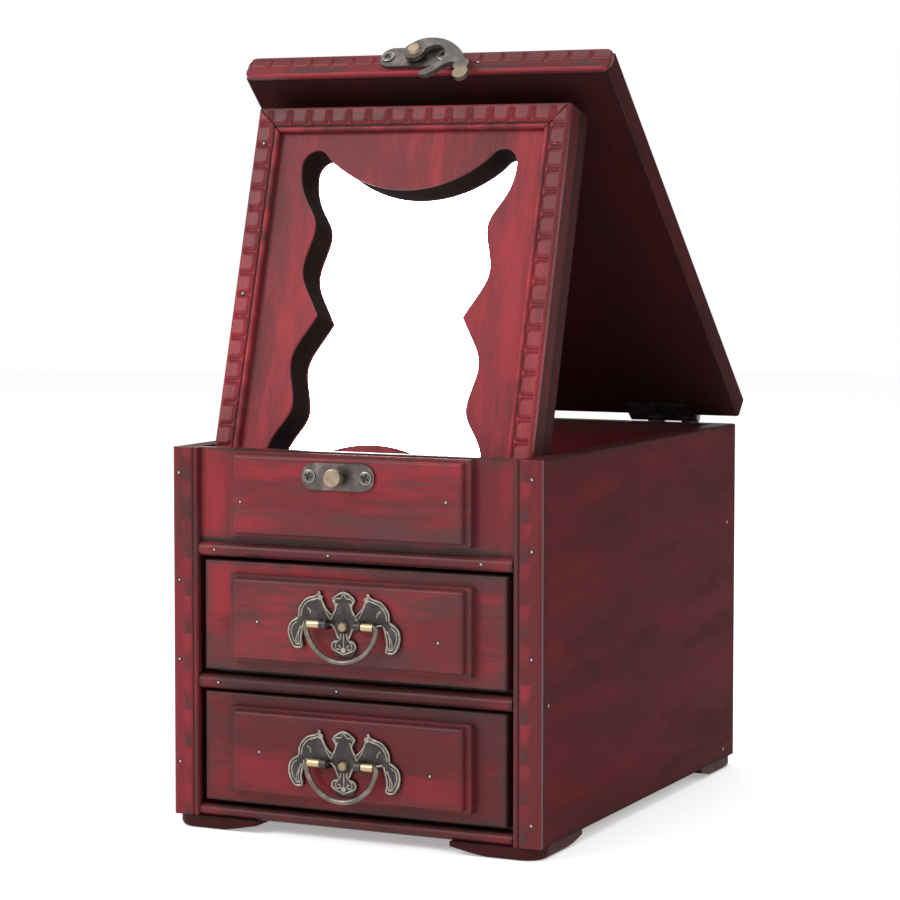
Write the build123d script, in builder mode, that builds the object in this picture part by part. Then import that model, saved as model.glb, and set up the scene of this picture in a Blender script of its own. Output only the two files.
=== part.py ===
from build123d import *
import os
from math import atan2, cos, radians, sin

# Vanity box with a propped mirror, in millimetres. +Z is up and the front faces -Y.
# The origin is on the floor, at the centre of the whole outline.

# ---- driving dimensions: case -------------------------------------------------
case_width = 140.0
case_depth = 194.0            # front of the corner strips to the rear face
case_front = -94.0            # where the front of the corner strips stands
foot_height = 4.5
side_thickness = 8.0
back_thickness = 8.0
bottom_thickness = 4.0
divider_thickness = 4.6
tray_floor_thickness = 6.0
tray_depth = 31.9             # tray floor to the rim
drawer_height = 38.2
gap_below_drawer = 2.0        # shadow gaps round the drawer fronts
gap_above_drawer = 1.3
arris = 1.2                   # eased edges of the boards

strip_width = 10.0            # embossed strips on the front corners
strip_thickness = 3.0
strip_outer_round = 2.4
strip_inner_round = 1.0
false_front_thickness = 3.8
bead_height = 5.0             # half-round beads on the front edges of the upper boards

foot_width = 33.0
foot_length = 37.0
foot_setback = 0.4            # behind the face of the corner strips
foot_corner = 8.0
foot_edge_round = 2.0
foot_bevel_rise = 2.8
foot_bevel_run = 14.0

# ---- driving dimensions: raised panels on the fronts ---------------------------
raised_side_margin = 11.7     # from a drawer front's ends
raised_margin = 4.0           # from a drawer front's upper and lower edge
raised_step = 3.0             # thickness of the lower member
raised_top = 2.3              # thickness of the upper member
raised_side_ledge = 2.2
raised_ledge = 1.1
false_raised_below = 1.8      # margins of the raised panel on the false front
false_raised_above = 0.6
false_raised_x = -1.0         # it sits this far off the middle

# ---- driving dimensions: drawers -----------------------------------------------
drawer_side_gap = 4.5         # side panel to drawer, filled by the guide
drawer_front_thickness = 6.0
drawer_front_setback = 1.4    # behind the face of the corner strips
drawer_wall = 5.0
drawer_bottom_thickness = 3.0
drawer_wall_drop = 4.3        # drawer walls stand this far below the front's upper edge
drawer_rear_gap = 4.0
slide_clearance = 0.3
guide_clearance = 0.5
guide_height = 12.0

# ---- driving dimensions: bail pulls --------------------------------------------
upper_pull_lift = 0.4         # bail axis above the middle of its drawer front
lower_pull_lift = -1.1
pull_plate_thickness = 1.2
pull_half_width = 21.4
bail_wire_radius = 0.95
bail_half_width = 13.3
bail_drop = 12.6
bail_bend = 1.3               # the wire turns inwards to its collars
collar_radius = 1.4
collar_gap = 0.3              # collar to lug
collar_stand = 0.8            # collar to plate
journal_radius = 0.8
lug_inner = 5.3
lug_outer = 7.7
lug_radius = 1.7
pin_clearance = 0.05          # running fit of every hinge pin and journal
boss_radius = 2.3
boss_height = 1.5
brad_radius = 0.6
brad_length = 9.0
brad_head_radius = 0.95
brad_head_height = 0.35

# ---- driving dimensions: catch and hook ----------------------------------------
latch_plate_length = 27.7
latch_plate_height = 9.2
latch_plate_thickness = 1.0
latch_x = -1.5                # hook plate
catch_x = -3.2                # catch plate
catch_below_rim = 7.9
screw_end_margin = 3.15       # screw centre to the end of its plate
screw_head_radius = 2.3
screw_head_height = 0.9
screw_shank_radius = 1.1
screw_length = 8.0
knob_neck_radius = 2.1
knob_neck_length = 2.2
knob_radius = 3.2
knob_head_length = 2.8
hook_plate_drop = 2.8         # plate centre below the lid's upper surface
rivet_x = 0.4                 # from the plate's centre
rivet_rise = 0.3
rivet_radius = 1.0
rivet_head_radius = 2.5
rivet_head_height = 1.1
rivet_depth = 5.0
boss_under_hook_radius = 2.8
boss_under_hook_height = 1.1
hook_thickness = 1.8
hook_gap = 0.1
hook_eye_radius = 4.0
hook_reach = 24.0             # rivet to the end of the thumb piece

# ---- driving dimensions: lid ---------------------------------------------------
lid_open_angle = 42.9         # as propped on the mirror panel
lid_thickness = 9.0
lid_overlap = 1.0             # the lid is this much wider than the case at each end
lid_shift = 1.8               # and hangs this far to the right
lid_strip_thickness = 2.6
lid_strip_overhang = 0.3
lid_strip_round = 3.0
lid_front_setback = 1.2       # closed, behind the face of the corner strips
hinge_inset = 1.0             # hinge axis in front of the case's rear face
hinge_x = 41.0
hinge_width = 28.0
hinge_knuckles = 4
knuckle_radius = 2.0
hinge_pin_radius = 0.9
knuckle_rim_gap = 0.35        # knuckle above the rim
knuckle_lid_gap = 0.6         # knuckle behind the lid's rear edge
leaf_thickness = 0.8
leaf_margin = 0.6             # leaf to the inner face of the rear wall
knuckle_gap = 0.2

# ---- driving dimensions: mirror panel ------------------------------------------
panel_side_clearance = 1.4    # in the tray
mirror_shift = -0.8           # the panel hangs this far to the left
panel_foot_clearance = 0.58   # above the tray floor
panel_front_clearance = 0.53  # behind the false front
mirror_axis_from_front = 20.1
mirror_fold_gap = 0.3         # lid to panel, folded flat
mirror_knuckle_radius = 1.2
mirror_pin_radius = 0.55
mirror_leaf_thickness = 0.6
mirror_leaf_depth = 8.5
mirror_hinge_x = 38.0
mirror_hinge_width = 18.0
mirror_hinge_knuckles = 3
mirror_edge_gap = 0.4         # knuckle to the panel's upper edge
backing_thickness = 6.5
front_board_thickness = 7.5
trim_thickness = 3.0
trim_width = 9.0
trim_round = 1.2
glass_thickness = 2.0
glass_margin = 10.0           # glass to the panel's edges
glass_clearance = 0.3

# Right half of the mirror opening's upper half, from the panel's centre.
lobe_bottom = 45.8            # lowest point of the lobe above the centre
lobe_radius = 47.6
ear_centre = (36.2, 54.8)
ear_radius = 5.8
waist = (33.6, 32.2)
shoulder = (36.4, 18.5)
cusp_x = 28.3

# ---- levels and planes worked out from them ------------------------------------
case_back = case_front + case_depth
case_half = case_width / 2
inner_half = case_half - side_thickness
drawer_front_half = inner_half - drawer_side_gap
raised_half_width = drawer_front_half - raised_side_margin
panel_front = case_front + strip_thickness
bottom_z = foot_height
bottom_top = bottom_z + bottom_thickness
lower_front_z = bottom_top + gap_below_drawer
divider_z = lower_front_z + drawer_height + gap_above_drawer
divider_top = divider_z + divider_thickness
upper_front_z = divider_top + gap_below_drawer
tray_floor_z = upper_front_z + drawer_height + gap_above_drawer
tray_floor_top = tray_floor_z + tray_floor_thickness
rim_z = tray_floor_top + tray_depth
inner_back = case_back - back_thickness
strip_half = case_half - strip_width
drawer_face = case_front + drawer_front_setback
drawer_front_back = drawer_face + drawer_front_thickness
drawer_rear = inner_back - drawer_rear_gap
raised_proud = raised_step + raised_top
screw_spacing = latch_plate_length - 2 * screw_end_margin
pull_axis_standoff = pull_plate_thickness + collar_radius + collar_stand
collar_inner = lug_outer + collar_gap
collar_outer = bail_half_width - bail_bend + 0.4

hinge_lift = knuckle_radius + knuckle_rim_gap
hinge_y = case_back - hinge_inset
hinge_z = rim_z + hinge_lift
opening = radians(lid_open_angle)
lid_frame = Plane(origin=(0, hinge_y, hinge_z), x_dir=(1, 0, 0), z_dir=(0, sin(opening), cos(opening)))
leaf_depth = back_thickness - leaf_margin
lid_width = case_width + 2 * lid_overlap
lid_under = -knuckle_radius
lid_upper = lid_under + lid_thickness
lid_face_y = case_front + lid_front_setback - hinge_y
lid_rear_setback = knuckle_radius + knuckle_lid_gap
lid_forward = (0, -cos(opening), sin(opening))

# The panel stands in the front corner of the tray, which settles its lean and its height.
mirror_axis_drop = mirror_knuckle_radius + mirror_fold_gap
mirror_axis_y = lid_face_y + mirror_axis_from_front
mirror_axis = lid_frame.from_local_coords((mirror_shift, mirror_axis_y, lid_under - mirror_axis_drop))
panel_top_gap = mirror_knuckle_radius + mirror_edge_gap
panel_thickness = backing_thickness + front_board_thickness + trim_thickness
foot_front_y = panel_front + false_front_thickness + panel_front_clearance
foot_rear_z = tray_floor_top + panel_foot_clearance
lean = 0.0
for _ in range(12):
    foot_run = mirror_axis.Y - foot_front_y - panel_thickness * cos(lean) + mirror_knuckle_radius / cos(lean)
    lean = atan2(foot_run, mirror_axis.Z - foot_rear_z)
foot_drop = mirror_axis.Z - foot_rear_z - mirror_knuckle_radius * sin(lean)
panel_height = foot_drop / cos(lean) - panel_top_gap
panel_width = 2 * (inner_half - panel_side_clearance)
glass_width = panel_width - 2 * glass_margin
glass_height = panel_height - 2 * glass_margin
panel_frame = Plane(origin=mirror_axis, x_dir=(1, 0, 0), z_dir=(0, -cos(lean), sin(lean)))
panel_back_z = -mirror_knuckle_radius
panel_middle_y = -panel_top_gap - panel_height / 2
panel_centre = Plane(
    origin=panel_frame.from_local_coords((0, panel_middle_y, panel_back_z)),
    x_dir=panel_frame.x_dir,
    z_dir=panel_frame.z_dir,
)

pieces = {}


def front_plane(y, z=0.0, x=0.0):
    # A plane that faces the viewer: its x is X and its y is Z.
    return Plane(origin=(x, y, z), x_dir=(1, 0, 0), z_dir=(0, -1, 0))


def lid_front_plane(x, drop, ahead=0.0):
    # A plane on the front face of the lid strip, drop below the lid's upper surface.
    origin = lid_frame.from_local_coords((x, lid_face_y - ahead, lid_upper - drop))
    return Plane(origin=origin, x_dir=(1, 0, 0), z_dir=lid_forward)


def board(low, high):
    # A sawn board between two opposite corners.
    middle = ((low[0] + high[0]) / 2, (low[1] + high[1]) / 2)
    with BuildPart() as sawn:
        with BuildSketch(Plane.XY.offset(low[2])):
            with Locations(middle):
                Rectangle(high[0] - low[0], high[1] - low[1])
        extrude(amount=high[2] - low[2])
    return sawn


# ---- case: carcass -------------------------------------------------------------
def side_panel(side):
    with BuildPart() as panel:
        with BuildSketch(Plane.XY.offset(bottom_z)):
            with Locations((side * (inner_half + side_thickness / 2), (panel_front + case_back) / 2)):
                Rectangle(side_thickness, case_back - panel_front)
        extrude(amount=rim_z - bottom_z)
        upright = panel.edges().filter_by(Axis.Z).group_by(Axis.Y)[-1]
        fillet(upright.sort_by(Axis.X)[-1 if side > 0 else 0], arris)
        top_edges = panel.faces().sort_by(Axis.Z)[-1].edges().filter_by(Axis.Y)
        fillet(top_edges.sort_by(Axis.X)[-1 if side > 0 else 0], arris / 2)
    return panel


pieces["left_side_panel"] = side_panel(-1)
pieces["right_side_panel"] = side_panel(1)


def shelf(z, thickness):
    return board((-inner_half, panel_front, z), (inner_half, inner_back, z + thickness))


pieces["bottom_board"] = shelf(bottom_z, bottom_thickness)
pieces["drawer_divider"] = shelf(divider_z, divider_thickness)
pieces["tray_floor"] = shelf(tray_floor_z, tray_floor_thickness)
false_front_back = panel_front + false_front_thickness
pieces["false_front"] = board(
    (-inner_half, panel_front, tray_floor_top), (inner_half, false_front_back, rim_z)
)


# ---- hinge leaves, shared by the lid hinges and the mirror hinges ---------------
def knuckle_spans(width, count, first):
    # Every second knuckle of a hinge centred on x = 0, with half a gap at each end.
    pitch = width / count
    starts = [-width / 2 + i * pitch for i in range(first, count, 2)]
    return [(start + knuckle_gap / 2, start + pitch - knuckle_gap / 2) for start in starts]


def hinge_leaf(frame, spans, width, radius, bore, sketch_arm, plate):
    # frame: origin on the hinge axis. sketch_arm draws what joins the knuckle to the plate.
    side = Plane(origin=frame.origin, x_dir=frame.y_dir, z_dir=frame.x_dir)
    plate_y, plate_z, plate_depth, plate_thickness = plate
    with BuildPart() as leaf:
        for start, end in spans:
            with BuildSketch(side.offset(start)):
                Circle(radius)
                sketch_arm()
                Circle(bore, mode=Mode.SUBTRACT)
            extrude(amount=end - start)
        with BuildSketch(frame.offset(plate_z)):
            with Locations((0, plate_y)):
                Rectangle(width, plate_depth)
        extrude(amount=plate_thickness)
    return leaf


def pair_of(leaf, frame, offset_x):
    # The same leaf on the left and the right of the box.
    with BuildPart() as both:
        add(leaf.part.moved(Location(frame.x_dir * offset_x)))
        add(leaf.part.moved(Location(frame.x_dir * -offset_x)))
    return both


def pins(frame, offset_x, radius, length):
    side = Plane(origin=frame.origin, x_dir=frame.y_dir, z_dir=frame.x_dir)
    with BuildPart() as both:
        for x in (-offset_x, offset_x):
            with BuildSketch(side.offset(x - length / 2)):
                Circle(radius)
            extrude(amount=length)
    return both


# Lid hinge, case leaf: let into the top of the rear wall.
case_frame = Plane(origin=(0, hinge_y, hinge_z), x_dir=(1, 0, 0), z_dir=(0, 0, 1))
case_plate_low = -hinge_lift - leaf_thickness


def case_leaf_arm():
    with Locations((0, case_plate_low / 2)):
        Rectangle(2 * leaf_thickness, -case_plate_low)


case_leaf = hinge_leaf(
    case_frame,
    knuckle_spans(hinge_width, hinge_knuckles, 1),
    hinge_width,
    knuckle_radius,
    hinge_pin_radius,
    case_leaf_arm,
    (hinge_inset - leaf_depth / 2, case_plate_low, leaf_depth, leaf_thickness),
)
pieces["case_hinge_leaves"] = pair_of(case_leaf, case_frame, hinge_x)
pieces["lid_hinge_pins"] = pins(case_frame, hinge_x, hinge_pin_radius, hinge_width)


# Lid hinge, lid leaf: let into the lid's underside.
def lid_leaf_arm():
    with Locations((-lid_rear_setback / 2, lid_under + leaf_thickness / 2)):
        Rectangle(lid_rear_setback, leaf_thickness)


lid_leaf = hinge_leaf(
    lid_frame,
    knuckle_spans(hinge_width, hinge_knuckles, 0),
    hinge_width,
    knuckle_radius,
    hinge_pin_radius + pin_clearance,
    lid_leaf_arm,
    (-lid_rear_setback - leaf_depth / 2, lid_under, leaf_depth, leaf_thickness),
)
pieces["lid_hinge_leaves"] = pair_of(lid_leaf, lid_frame, hinge_x)

with BuildPart() as back_panel:
    add(board((-inner_half, inner_back, bottom_z), (inner_half, case_back, rim_z)).part)
    rear_rim = back_panel.faces().sort_by(Axis.Z)[-1].edges().filter_by(Axis.X)
    fillet(rear_rim.sort_by(Axis.Y)[-1], arris / 2)
    add(pieces["case_hinge_leaves"].part, mode=Mode.SUBTRACT)
pieces["back_panel"] = back_panel


# ---- case: front trim and feet ---------------------------------------------------
def corner_strip(side):
    with BuildPart() as strip:
        with BuildSketch(Plane.XY.offset(bottom_z)) as section:
            with Locations((side * (case_half - strip_width / 2), case_front + strip_thickness / 2)):
                Rectangle(strip_width, strip_thickness)
            nose = section.vertices().group_by(Axis.Y)[0].sort_by(Axis.X)
            outer, inner = (nose[-1], nose[0]) if side > 0 else (nose[0], nose[-1])
            fillet(outer, strip_outer_round)
            fillet(inner, strip_inner_round)
        extrude(amount=rim_z - bottom_z)
    return strip


pieces["left_corner_strip"] = corner_strip(-1)
pieces["right_corner_strip"] = corner_strip(1)


def bead(z, height):
    # Half-round bead on the front edge of a board.
    length = 2 * (strip_half - slide_clearance)
    with BuildPart() as rod:
        with BuildSketch(Plane.YZ.offset(-length / 2)):
            with Locations((panel_front, z + height / 2)):
                Circle(height / 2)
                with Locations((height / 2, 0)):
                    Rectangle(height, height, mode=Mode.SUBTRACT)
        extrude(amount=length)
    return rod


pieces["tray_bead"] = bead(tray_floor_z, bead_height)
pieces["middle_bead"] = bead(divider_top - bead_height, bead_height)
pieces["base_bead"] = bead(bottom_z, bottom_thickness)


def foot(side, end):
    # side: -1 left, 1 right. end: -1 front, 1 rear. Bevelled under its inner ends.
    outer_x = side * case_half
    outer_y = case_front + foot_setback if end < 0 else case_back
    inner_x = outer_x - side * foot_width
    inner_y = outer_y - end * foot_length
    with BuildPart() as block:
        with BuildSketch() as plan:
            with Locations(((outer_x + inner_x) / 2, (outer_y + inner_y) / 2)):
                Rectangle(foot_width, foot_length)
            corner = plan.vertices().sort_by(lambda v: side * v.X + end * v.Y)[-1]
            fillet(corner, foot_corner)
        extrude(amount=foot_height)
        underside = block.faces().sort_by(Axis.Z)[0].edges()
        outside = underside.sort_by(lambda e: side * e.center().X + end * e.center().Y)[-3:]
        fillet(outside, foot_edge_round)
        with BuildSketch(front_plane(outer_y)):
            with BuildLine():
                Polyline(
                    (inner_x, 0),
                    (inner_x + side * foot_bevel_run, 0),
                    (inner_x, foot_bevel_rise),
                    close=True,
                )
            make_face()
        extrude(amount=foot_length, both=True, mode=Mode.SUBTRACT)
        with BuildSketch(Plane.YZ.offset(outer_x)):
            with BuildLine():
                Polyline(
                    (inner_y, 0),
                    (inner_y + end * foot_bevel_run, 0),
                    (inner_y, foot_bevel_rise),
                    close=True,
                )
            make_face()
        extrude(amount=foot_width, both=True, mode=Mode.SUBTRACT)
    return block


pieces["front_left_foot"] = foot(-1, -1)
pieces["front_right_foot"] = foot(1, -1)
pieces["rear_left_foot"] = foot(-1, 1)
pieces["rear_right_foot"] = foot(1, 1)

# Guide strips beside both drawers, glued to the side panels.
with BuildPart() as drawer_guides:
    guide_inner = drawer_front_half + guide_clearance
    for level in (bottom_top, divider_top):
        with BuildSketch(Plane.XY.offset(level)):
            with Locations(
                ((inner_half + guide_inner) / 2, (drawer_front_back + inner_back) / 2),
                (-(inner_half + guide_inner) / 2, (drawer_front_back + inner_back) / 2),
            ):
                Rectangle(inner_half - guide_inner, inner_back - drawer_front_back)
        extrude(amount=guide_height)
pieces["drawer_guides"] = drawer_guides


# ---- raised panels, screws and brads ----------------------------------------------
def raised_panel(face_y, x, low, high, fittings):
    # Two members: a plain lower one, and an upper one set in by a ledge with a rounded edge.
    middle = (low + high) / 2
    with BuildPart() as panel:
        with BuildSketch(front_plane(face_y, middle, x)):
            Rectangle(2 * raised_half_width, high - low)
        extrude(amount=raised_step)
        with BuildSketch(front_plane(face_y - raised_step, middle, x)):
            Rectangle(2 * (raised_half_width - raised_side_ledge), high - low - 2 * raised_ledge)
        extrude(amount=raised_top)
        fillet(panel.faces().sort_by(Axis.Y)[0].edges(), arris)
        for fitting in fittings:
            add(fitting.part, mode=Mode.SUBTRACT)
    return panel


def screw_pair(plane, spacing):
    # Two pan-head wood screws in line, seated on the plane.
    with BuildPart() as screws:
        for x in (-spacing / 2, spacing / 2):
            turned = Plane(origin=plane.from_local_coords((x, 0, 0)), x_dir=plane.x_dir, z_dir=-plane.y_dir)
            with BuildSketch(turned):
                with BuildLine():
                    Polyline(
                        (0, -screw_length),
                        (screw_shank_radius, -screw_length + screw_shank_radius),
                        (screw_shank_radius, 0),
                        (screw_head_radius, 0),
                        (screw_head_radius, screw_head_height / 2),
                    )
                    dome_top = (0, screw_head_height)
                    TangentArc(dome_top, (screw_head_radius, screw_head_height / 2), tangent=(1, 0))
                    Line(dome_top, (0, -screw_length))
                make_face()
            revolve(axis=Axis(turned.origin, turned.y_dir))
    return screws


def latch_plate(plane):
    with BuildPart() as plate:
        with BuildSketch(plane):
            SlotOverall(latch_plate_length, latch_plate_height)
            with Locations((-screw_spacing / 2, 0), (screw_spacing / 2, 0)):
                Circle(screw_shank_radius, mode=Mode.SUBTRACT)
        extrude(amount=latch_plate_thickness)
    return plate


# ---- catch on the false front -----------------------------------------------------
catch_z = rim_z - catch_below_rim
raised_face_y = panel_front - raised_proud
catch_plane = front_plane(raised_face_y, catch_z, catch_x)
catch_face = front_plane(raised_face_y - latch_plate_thickness, catch_z, catch_x)
pieces["catch_screws"] = screw_pair(catch_face, screw_spacing)

with BuildPart() as catch_knob:
    with BuildSketch(catch_face.offset(-latch_plate_thickness)):
        Circle(knob_neck_radius)
    extrude(amount=latch_plate_thickness + knob_neck_length)
    with BuildSketch(catch_face.offset(knob_neck_length)):
        Circle(knob_radius)
    extrude(amount=knob_head_length)
    fillet(catch_knob.faces().sort_by(Axis.Y)[0].edges(), knob_head_length / 4)
pieces["catch_knob"] = catch_knob

with BuildPart() as catch_plate:
    add(latch_plate(catch_plane).part)
    add(catch_knob.part, mode=Mode.SUBTRACT)
pieces["catch_plate"] = catch_plate

pieces["false_front_panel"] = raised_panel(
    panel_front,
    false_raised_x,
    tray_floor_top + false_raised_below,
    rim_z - false_raised_above,
    [pieces["catch_screws"]],
)
with BuildPart() as false_front:
    add(pieces["false_front"].part)
    add(pieces["catch_screws"].part, mode=Mode.SUBTRACT)
pieces["false_front"] = false_front


# ---- bail pulls ---------------------------------------------------------------------
def pull_outline():
    # Right half of the cast plate, from the crest round the scroll to the leaf, mirrored.
    # Drawn on a grid of 21 squares to the half width, with the bail's axis at the origin.
    crest, notch, finial = (0, 11.4), (4.3, 3.4), (9.0, 11.0)
    junction, wing_root = (17.2, 2.0), (14.4, 0.2)
    leaf_neck, leaf_tip = (2.2, -4.9), (0, -10.5)
    with BuildLine() as half:
        Spline(crest, (2.4, 10.4), (4.4, 8.4), (3.3, 6.0), notch)
        Spline(notch, (6.6, 5.8), (8.0, 8.6), finial)
        Spline(finial, (10.6, 9.6), (14.3, 8.3), (16.9, 5.0), junction)
        Spline(junction, (20.4, -0.4), (21.0, -4.4), (18.6, -8.6), (15.4, -8.3), (15.6, -5.0), wing_root)
        Spline(wing_root, (9.4, -0.8), (4.6, -0.7), leaf_neck)
        Spline(leaf_neck, (4.5, -6.0), (4.4, -8.4), leaf_tip)
        mirror(about=Plane.YZ)
    return [scale(edge, by=pull_half_width / 21, mode=Mode.PRIVATE) for edge in half.edges()]


def bail_pull(face_y, axis_z, label):
    plate_plane = front_plane(face_y, axis_z)
    plate_face = front_plane(face_y - pull_plate_thickness, axis_z)
    axis_y = face_y - pull_axis_standoff
    with BuildPart() as fixings:
        for x, z in ((-8.8, 9.0), (8.8, 9.0), (0, -8.6)):
            with BuildSketch(front_plane(face_y - pull_plate_thickness + brad_length, axis_z)):
                with Locations((x, z)):
                    Circle(brad_radius)
            extrude(amount=brad_length)
            with BuildSketch(plate_face):
                with Locations((x, z)):
                    Circle(brad_head_radius)
            extrude(amount=brad_head_height)
    with BuildPart() as plate:
        with BuildSketch(plate_plane):
            make_face(pull_outline())
        extrude(amount=pull_plate_thickness)
        with BuildSketch(plate_face):
            with Locations((0, -0.6)):
                Circle(boss_radius)
        extrude(amount=boss_height, taper=30)
        for x in (-lug_outer, lug_inner):
            with BuildSketch(Plane.YZ.offset(x)):
                with Locations((axis_y, axis_z)):
                    Circle(lug_radius)
                    with Locations((pull_axis_standoff / 2, 0)):
                        Rectangle(pull_axis_standoff, 2 * lug_radius)
                    Circle(journal_radius + pin_clearance, mode=Mode.SUBTRACT)
            extrude(amount=lug_outer - lug_inner)
        add(fixings.part, mode=Mode.SUBTRACT)
    with BuildPart() as bail:
        swing_plane = front_plane(axis_y, axis_z)
        with BuildLine(swing_plane) as bend:
            bow = ThreePointArc(
                (-bail_half_width, -bail_bend), (0, -bail_drop), (bail_half_width, -bail_bend)
            )
            TangentArc(bow @ 1, (bail_half_width - bail_bend, 0), tangent=bow % 1)
            TangentArc(bow @ 0, (bail_bend - bail_half_width, 0), tangent=-(bow % 0))
        wire = bend.wires()[0]
        with BuildSketch(Plane(origin=wire @ 0, z_dir=wire % 0)):
            Circle(bail_wire_radius)
        sweep(path=wire)
        for side in (-1, 1):
            inward = Plane(origin=(side * collar_outer, axis_y, axis_z), x_dir=(0, 1, 0), z_dir=(-side, 0, 0))
            with BuildSketch(inward):
                Circle(collar_radius)
            extrude(amount=collar_outer - collar_inner)
            with BuildSketch(inward):
                Circle(journal_radius)
            extrude(amount=collar_outer - lug_inner)
    pieces[label + "_pull_plate"] = plate
    pieces[label + "_pull_brads"] = fixings
    pieces[label + "_bail"] = bail
    return fixings


# ---- drawers ----------------------------------------------------------------------
def drawer(label, front_z, board_top, pull_lift):
    wall_z = board_top + slide_clearance
    wall_top = front_z + drawer_height - drawer_wall_drop
    inner = drawer_front_half - drawer_wall
    raised_face = drawer_face - raised_proud
    axis_z = front_z + drawer_height / 2 + pull_lift
    fixings = bail_pull(raised_face, axis_z, label)
    pieces[label + "_drawer_panel"] = raised_panel(
        drawer_face, 0, front_z + raised_margin, front_z + drawer_height - raised_margin, [fixings]
    )
    with BuildPart() as front:
        add(
            board(
                (-drawer_front_half, drawer_face, front_z),
                (drawer_front_half, drawer_front_back, front_z + drawer_height),
            ).part
        )
        fillet(front.faces().sort_by(Axis.Y)[0].edges(), arris / 2)
        add(fixings.part, mode=Mode.SUBTRACT)
    pieces[label + "_drawer_front"] = front
    for name, side in (("left", -1), ("right", 1)):
        low_x, high_x = sorted((side * inner, side * drawer_front_half))
        pieces[f"{label}_drawer_{name}_side"] = board(
            (low_x, drawer_front_back, wall_z), (high_x, drawer_rear, wall_top)
        )
    pieces[label + "_drawer_back"] = board(
        (-inner, drawer_rear - drawer_wall, wall_z), (inner, drawer_rear, wall_top)
    )
    pieces[label + "_drawer_bottom"] = board(
        (-inner, drawer_front_back, wall_z),
        (inner, drawer_rear - drawer_wall, wall_z + drawer_bottom_thickness),
    )


drawer("lower", lower_front_z, bottom_top, lower_pull_lift)
drawer("upper", upper_front_z, divider_top, upper_pull_lift)

# ---- hook latch on the lid -----------------------------------------------------------
hook_plate_plane = lid_front_plane(latch_x, hook_plate_drop)
hook_plate_face = lid_front_plane(latch_x, hook_plate_drop, latch_plate_thickness)
pieces["hook_screws"] = screw_pair(hook_plate_face, screw_spacing)
hook_stand = latch_plate_thickness + boss_under_hook_height
hook_pivot = lid_front_plane(latch_x + rivet_x, hook_plate_drop - rivet_rise)

with BuildPart() as hook_rivet:
    with BuildSketch(hook_pivot.offset(-rivet_depth)):
        Circle(rivet_radius)
    extrude(amount=rivet_depth + hook_stand + hook_thickness + 2 * hook_gap)
    with BuildSketch(hook_pivot.offset(hook_stand + hook_thickness + 2 * hook_gap)):
        Circle(rivet_head_radius)
    extrude(amount=rivet_head_height, taper=25)
pieces["hook_rivet"] = hook_rivet

with BuildPart() as hook_plate:
    add(latch_plate(hook_plate_plane).part)
    with BuildSketch(hook_pivot.offset(latch_plate_thickness)):
        Circle(boss_under_hook_radius)
    extrude(amount=boss_under_hook_height)
    add(hook_rivet.part, mode=Mode.SUBTRACT)
pieces["hook_plate"] = hook_plate

# The hook: an eye on the rivet, a crook that curls back to a narrow tongue, and a two-lobed thumb piece.
with BuildPart() as hook:
    # Drawn on a grid of 24 squares to the reach, with the rivet at the origin.
    with BuildSketch(hook_pivot.offset(hook_stand + hook_gap)):
        with BuildLine():
            Spline((-2.8, 2.6), (2.1, 5.7), (7.0, 5.8), (12.0, 4.2), (16.8, 0.7), (19.8, -2.8), (21.2, -6.4))
            Line((21.2, -6.4), (17.8, -6.6))
            Spline((17.8, -6.6), (14.9, -7.0), (11.1, -10.3), (5.9, -12.6))
            Line((5.9, -12.6), (5.2, -11.4))
            Spline((5.2, -11.4), (9.2, -8.2), (12.2, -5.2), (12.4, -1.6), (8.6, 2.2), (5.0, 1.4), (3.0, -1.2))
            Line((3.0, -1.2), (-2.8, 2.6))
        make_face()
        with Locations((20.4, -7.6)):
            Circle(2.9)
        with Locations((21.2, -11.6)):
            Circle(2.8)
        scale(by=hook_reach / 24)
        Circle(hook_eye_radius)
        Circle(rivet_radius + pin_clearance, mode=Mode.SUBTRACT)
    extrude(amount=hook_thickness)
pieces["hook"] = hook

# ---- lid ------------------------------------------------------------------------------
lid_board_front = lid_face_y + lid_strip_thickness
with BuildPart() as lid_front_strip:
    strip_height = lid_thickness + lid_strip_overhang
    with BuildSketch(lid_front_plane(lid_shift, strip_height / 2, -lid_strip_thickness)):
        RectangleRounded(lid_width, strip_height, lid_strip_round)
    extrude(amount=lid_strip_thickness)
    add(pieces["hook_screws"].part, mode=Mode.SUBTRACT)
    add(hook_rivet.part, mode=Mode.SUBTRACT)
pieces["lid_front_strip"] = lid_front_strip

# ---- mirror hinges ----------------------------------------------------------------------
mirror_lid_frame = Plane(origin=mirror_axis, x_dir=(1, 0, 0), z_dir=lid_frame.z_dir)
mirror_plate_high = mirror_axis_drop + mirror_leaf_thickness


def mirror_lid_arm():
    with Locations((0, mirror_plate_high / 2)):
        Rectangle(2 * mirror_leaf_thickness, mirror_plate_high)


mirror_lid_leaf = hinge_leaf(
    mirror_lid_frame,
    knuckle_spans(mirror_hinge_width, mirror_hinge_knuckles, 0),
    mirror_hinge_width,
    mirror_knuckle_radius,
    mirror_pin_radius,
    mirror_lid_arm,
    (
        mirror_leaf_depth / 2 - mirror_leaf_thickness,
        mirror_axis_drop,
        mirror_leaf_depth,
        mirror_leaf_thickness,
    ),
)
pieces["mirror_hinge_lid_leaves"] = pair_of(mirror_lid_leaf, mirror_lid_frame, mirror_hinge_x)
pieces["mirror_hinge_pins"] = pins(
    mirror_lid_frame, mirror_hinge_x, mirror_pin_radius, mirror_hinge_width
)


def mirror_panel_arm():
    with Locations((-panel_top_gap / 2, panel_back_z + mirror_leaf_thickness / 2)):
        Rectangle(panel_top_gap, mirror_leaf_thickness)


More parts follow.
